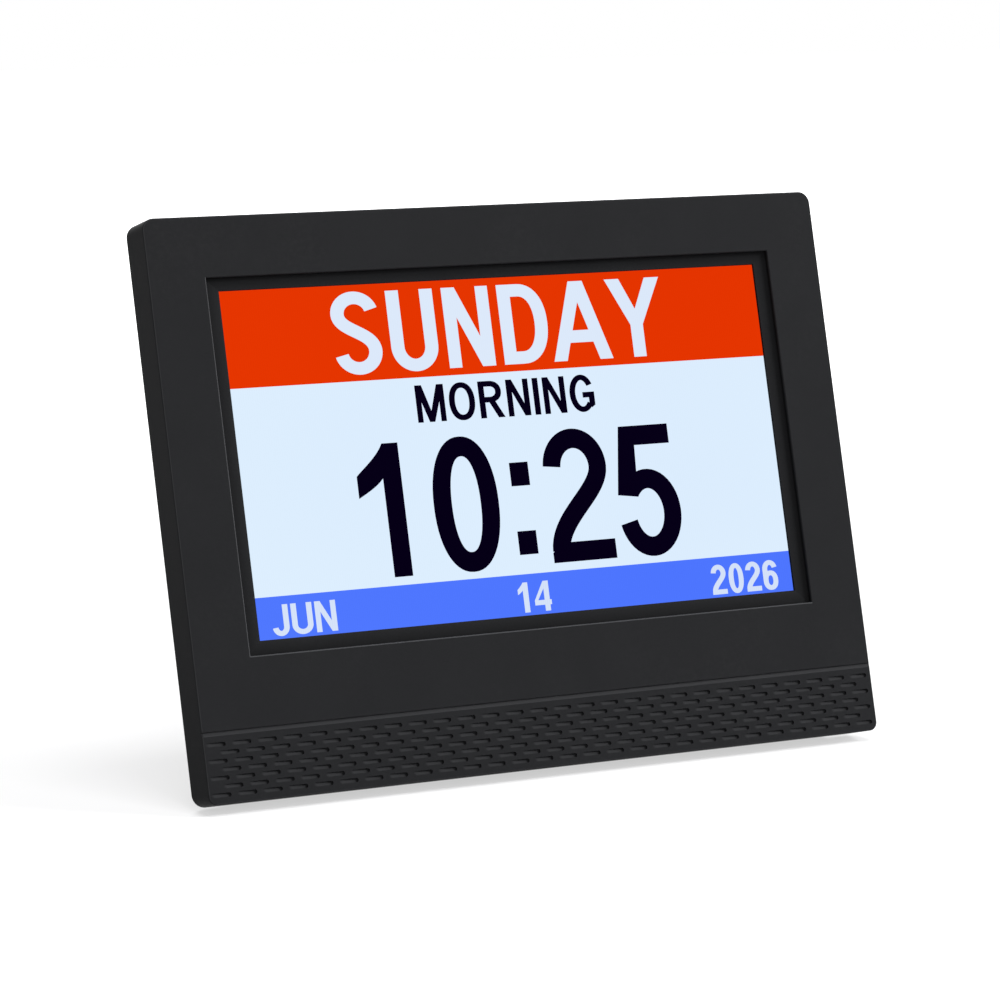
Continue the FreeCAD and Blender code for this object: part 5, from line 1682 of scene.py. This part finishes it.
@dataclass
class LegGrip:
    """Grip ribs in the two recesses of the leg."""

    lean: Lean
    recess_plane: float = 22.5
    rib: Triple = (6.0, 0.55, 0.9)
    corner_cut: float = 0.12
    pitch: float = 2.6
    count: int = 9
    middle_height: float = 21.0
    side: float = 6.6

    def build(self, material: bpy.types.Material) -> list[bpy.types.Object]:
        """Builds a row of ribs on each side of the leg's spine.

        Args:
            material: The leg's material.

        Returns:
            The two rows.
        """
        made = []
        for name, x in (("grip_ribs_left", -self.side), ("grip_ribs_right", self.side)):
            centre = Matrix.Translation((x, self.recess_plane + self.rib[1] / 2,
                                         self.middle_height))
            ribs = Repeat(name).build(self.lean.leg_matrix() @ centre, material, Columns=1,
                                      Rows=self.count, Column_Pitch=1.0, Row_Pitch=self.pitch,
                                      Form_Size=self.rib, Corner_Cut=self.corner_cut)
            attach(ribs, "leg")
            made.append(ribs)
            log.info("%s: %d faces", name, len(ribs.data.polygons))
        return made


# ---- the whole clock


@dataclass
class ClockBody:
    """Every CAD piece, dressed in the finish of its slot."""

    finishes: dict[str, Finish]

    def dress(self) -> dict[str, bpy.types.Material]:
        """Sets the material of each node by the slot that the CAD model names.

        Returns:
            The materials by slot.
        """
        materials = {slot: finish.material() for slot, finish in self.finishes.items()}
        for name, node in sorted(frame["nodes"].items()):
            for place in node.material_slots:
                slot = place.material.name.split(".")[0]
                if slot in materials:
                    place.material = materials[slot]
                else:
                    log.warning("%s: no finish for slot %s", name, slot)
            log.info("%s: %s", name, ", ".join(p.material.name for p in node.material_slots))
        return materials


# ---- floor, lamps and camera


@dataclass(frozen=True)
class Softbox:
    """A square lamp that looks at the clock.

    Its level is the brightness that it alone gives to a white card that faces it.
    """

    name: str
    azimuth: float
    elevation: float
    distance: float
    size: float
    level: float

    def build(self, target: Vector) -> bpy.types.Object:
        """Makes the lamp and turns it to its target.

        Args:
            target: The point that it looks at.

        Returns:
            The lamp.
        """
        lamp = bpy.data.lights.new(self.name, "AREA")
        lamp.shape = "SQUARE"
        lamp.size = self.size
        lamp.energy = self.level * math.pi ** 2 * self.distance ** 2
        turn, rise = math.radians(self.azimuth), math.radians(self.elevation)
        away = Vector((math.sin(turn) * math.cos(rise), -math.cos(turn) * math.cos(rise),
                       math.sin(rise)))
        made = add_object(self.name, lamp)
        made.location = target + away * self.distance
        made.rotation_euler = (-away).to_track_quat("-Z", "Y").to_euler()
        return made


@dataclass
class Studio:
    """Plain pale floor, soft lamps and an even white surround.

    Near and far are a distance from the middle of the floor and the floor's glow there.
    """

    surround: float = 0.25
    floor_half: float = 4.0
    floor_near: Span = (0.22, 0.58)
    floor_far: Span = (0.9, 1.0)
    floor_colour: Colour = (0.36, 0.36, 0.364)
    lamps: tuple[Softbox, ...] = (
        Softbox("key_lamp", 58.0, 34.0, 3.0, 0.7, 0.85),
        Softbox("right_lamp", 80.0, 14.0, 3.0, 1.2, 0.5),
        Softbox("top_lamp", 5.0, 76.0, 3.0, 0.9, 0.45),
        Softbox("fill_lamp", -22.0, 24.0, 3.0, 0.6, 0.2),
        Softbox("rear_lamp", 165.0, 28.0, 3.0, 1.0, 0.9),
    )

    def seen_directly(self, graph: Graph) -> Term:
        """Gives 1 for rays from the camera, in a mirror or through glass, and 0 for others."""
        path = graph.terms("ShaderNodeLightPath")
        return path["Is Camera Ray"].at_least(path["Is Glossy Ray"]).at_least(
            path["Is Transmission Ray"])

    def build_world(self) -> None:
        """Makes the surround white to look at and softer as a light."""
        world = bpy.data.worlds.new("white_surround")
        graph = Graph.of(world)
        level = graph.ramp(self.seen_directly(graph), 0.0, 1.0, self.surround, 1.0)
        light = graph.term("ShaderNodeBackground", {"Color": opaque((1.0, 1.0, 1.0)),
                                                    "Strength": level})
        graph.add("ShaderNodeOutputWorld", {"Surface": light})
        bpy.context.scene.world = world

    def floor_material(self) -> bpy.types.Material:
        """Makes the floor's material, which keeps the shadow of the clock.

        Returns:
            The material.
        """
        material = bpy.data.materials.new("pale_floor")
        graph = Graph.of(material)
        matt = graph.term("ShaderNodeBsdfDiffuse", {"Color": opaque(self.floor_colour)})
        place = graph.term("ShaderNodeTexCoord", output="Object")
        reach = graph.term("ShaderNodeVectorMath", {0: place}, output="Value", operation="LENGTH")
        glow = graph.ramp(reach, self.floor_near[0], self.floor_far[0], self.floor_near[1],
                          self.floor_far[1])
        light = graph.term("ShaderNodeEmission", {"Strength": self.seen_directly(graph) * glow})
        both = graph.term("ShaderNodeAddShader", {0: matt, 1: light})
        graph.add("ShaderNodeOutputMaterial", {"Surface": both})
        return material

    def build(self, target: Vector) -> None:
        """Builds the floor, the surround and the lamps.

        Args:
            target: The point that the lamps look at.
        """
        self.build_world()
        mesh = bmesh.new()
        bmesh.ops.create_grid(mesh, x_segments=1, y_segments=1, size=self.floor_half)
        floor = add_mesh("floor", mesh, [self.floor_material()])
        floor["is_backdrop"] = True
        for lamp in self.lamps:
            lamp.build(target)
        log.info("studio: floor and %d lamps", len(self.lamps))


@dataclass
class MainCamera:
    """Camera a little above the clock and to its left."""

    place: Triple = (-0.52183, -0.93389, 0.21882)
    azimuth: float = 29.197
    fall: float = 8.109
    roll: float = 0.03
    lens: float = 153.14
    sensor_width: float = 36.0
    clip: Span = (0.05, 50.0)

    def build(self) -> bpy.types.Object:
        """Makes the camera and makes it the scene's own.

        Returns:
            The camera.
        """
        data = bpy.data.cameras.new("main_camera")
        data.lens = self.lens
        data.sensor_width = self.sensor_width
        data.clip_start, data.clip_end = self.clip
        made = add_object("main_camera", data)
        made.location = self.place
        look = Matrix.Rotation(-math.radians(self.azimuth), 3, "Z") @ \
            Matrix.Rotation(math.radians(90 - self.fall), 3, "X") @ \
            Matrix.Rotation(-math.radians(self.roll), 3, "Z")
        made.rotation_euler = look.to_euler()
        bpy.context.scene.camera = made
        return made


def corner_lists() -> list[list[float]]:
    """Gives the two corners of the whole object as plain lists."""
    return [list(corner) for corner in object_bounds()]


def main() -> None:
    """Builds the clock, the studio and the camera."""
    logging.basicConfig(level=logging.INFO, format="%(message)s")
    cad_box = corner_lists()
    bpy.context.scene.view_settings.view_transform = "Standard"
    MainCamera().build()
    lean = Lean()
    materials = ClockBody(SLOT_FINISHES).dress()
    DisplayPicture(lean).build()
    KeyMarks(lean).build()
    LegGrip(lean).build(materials["leg_plastic"])
    low, high = (Vector(corner) for corner in cad_box)
    Studio().build((low + high) / 2)


if __name__ == "__main__":
    main()
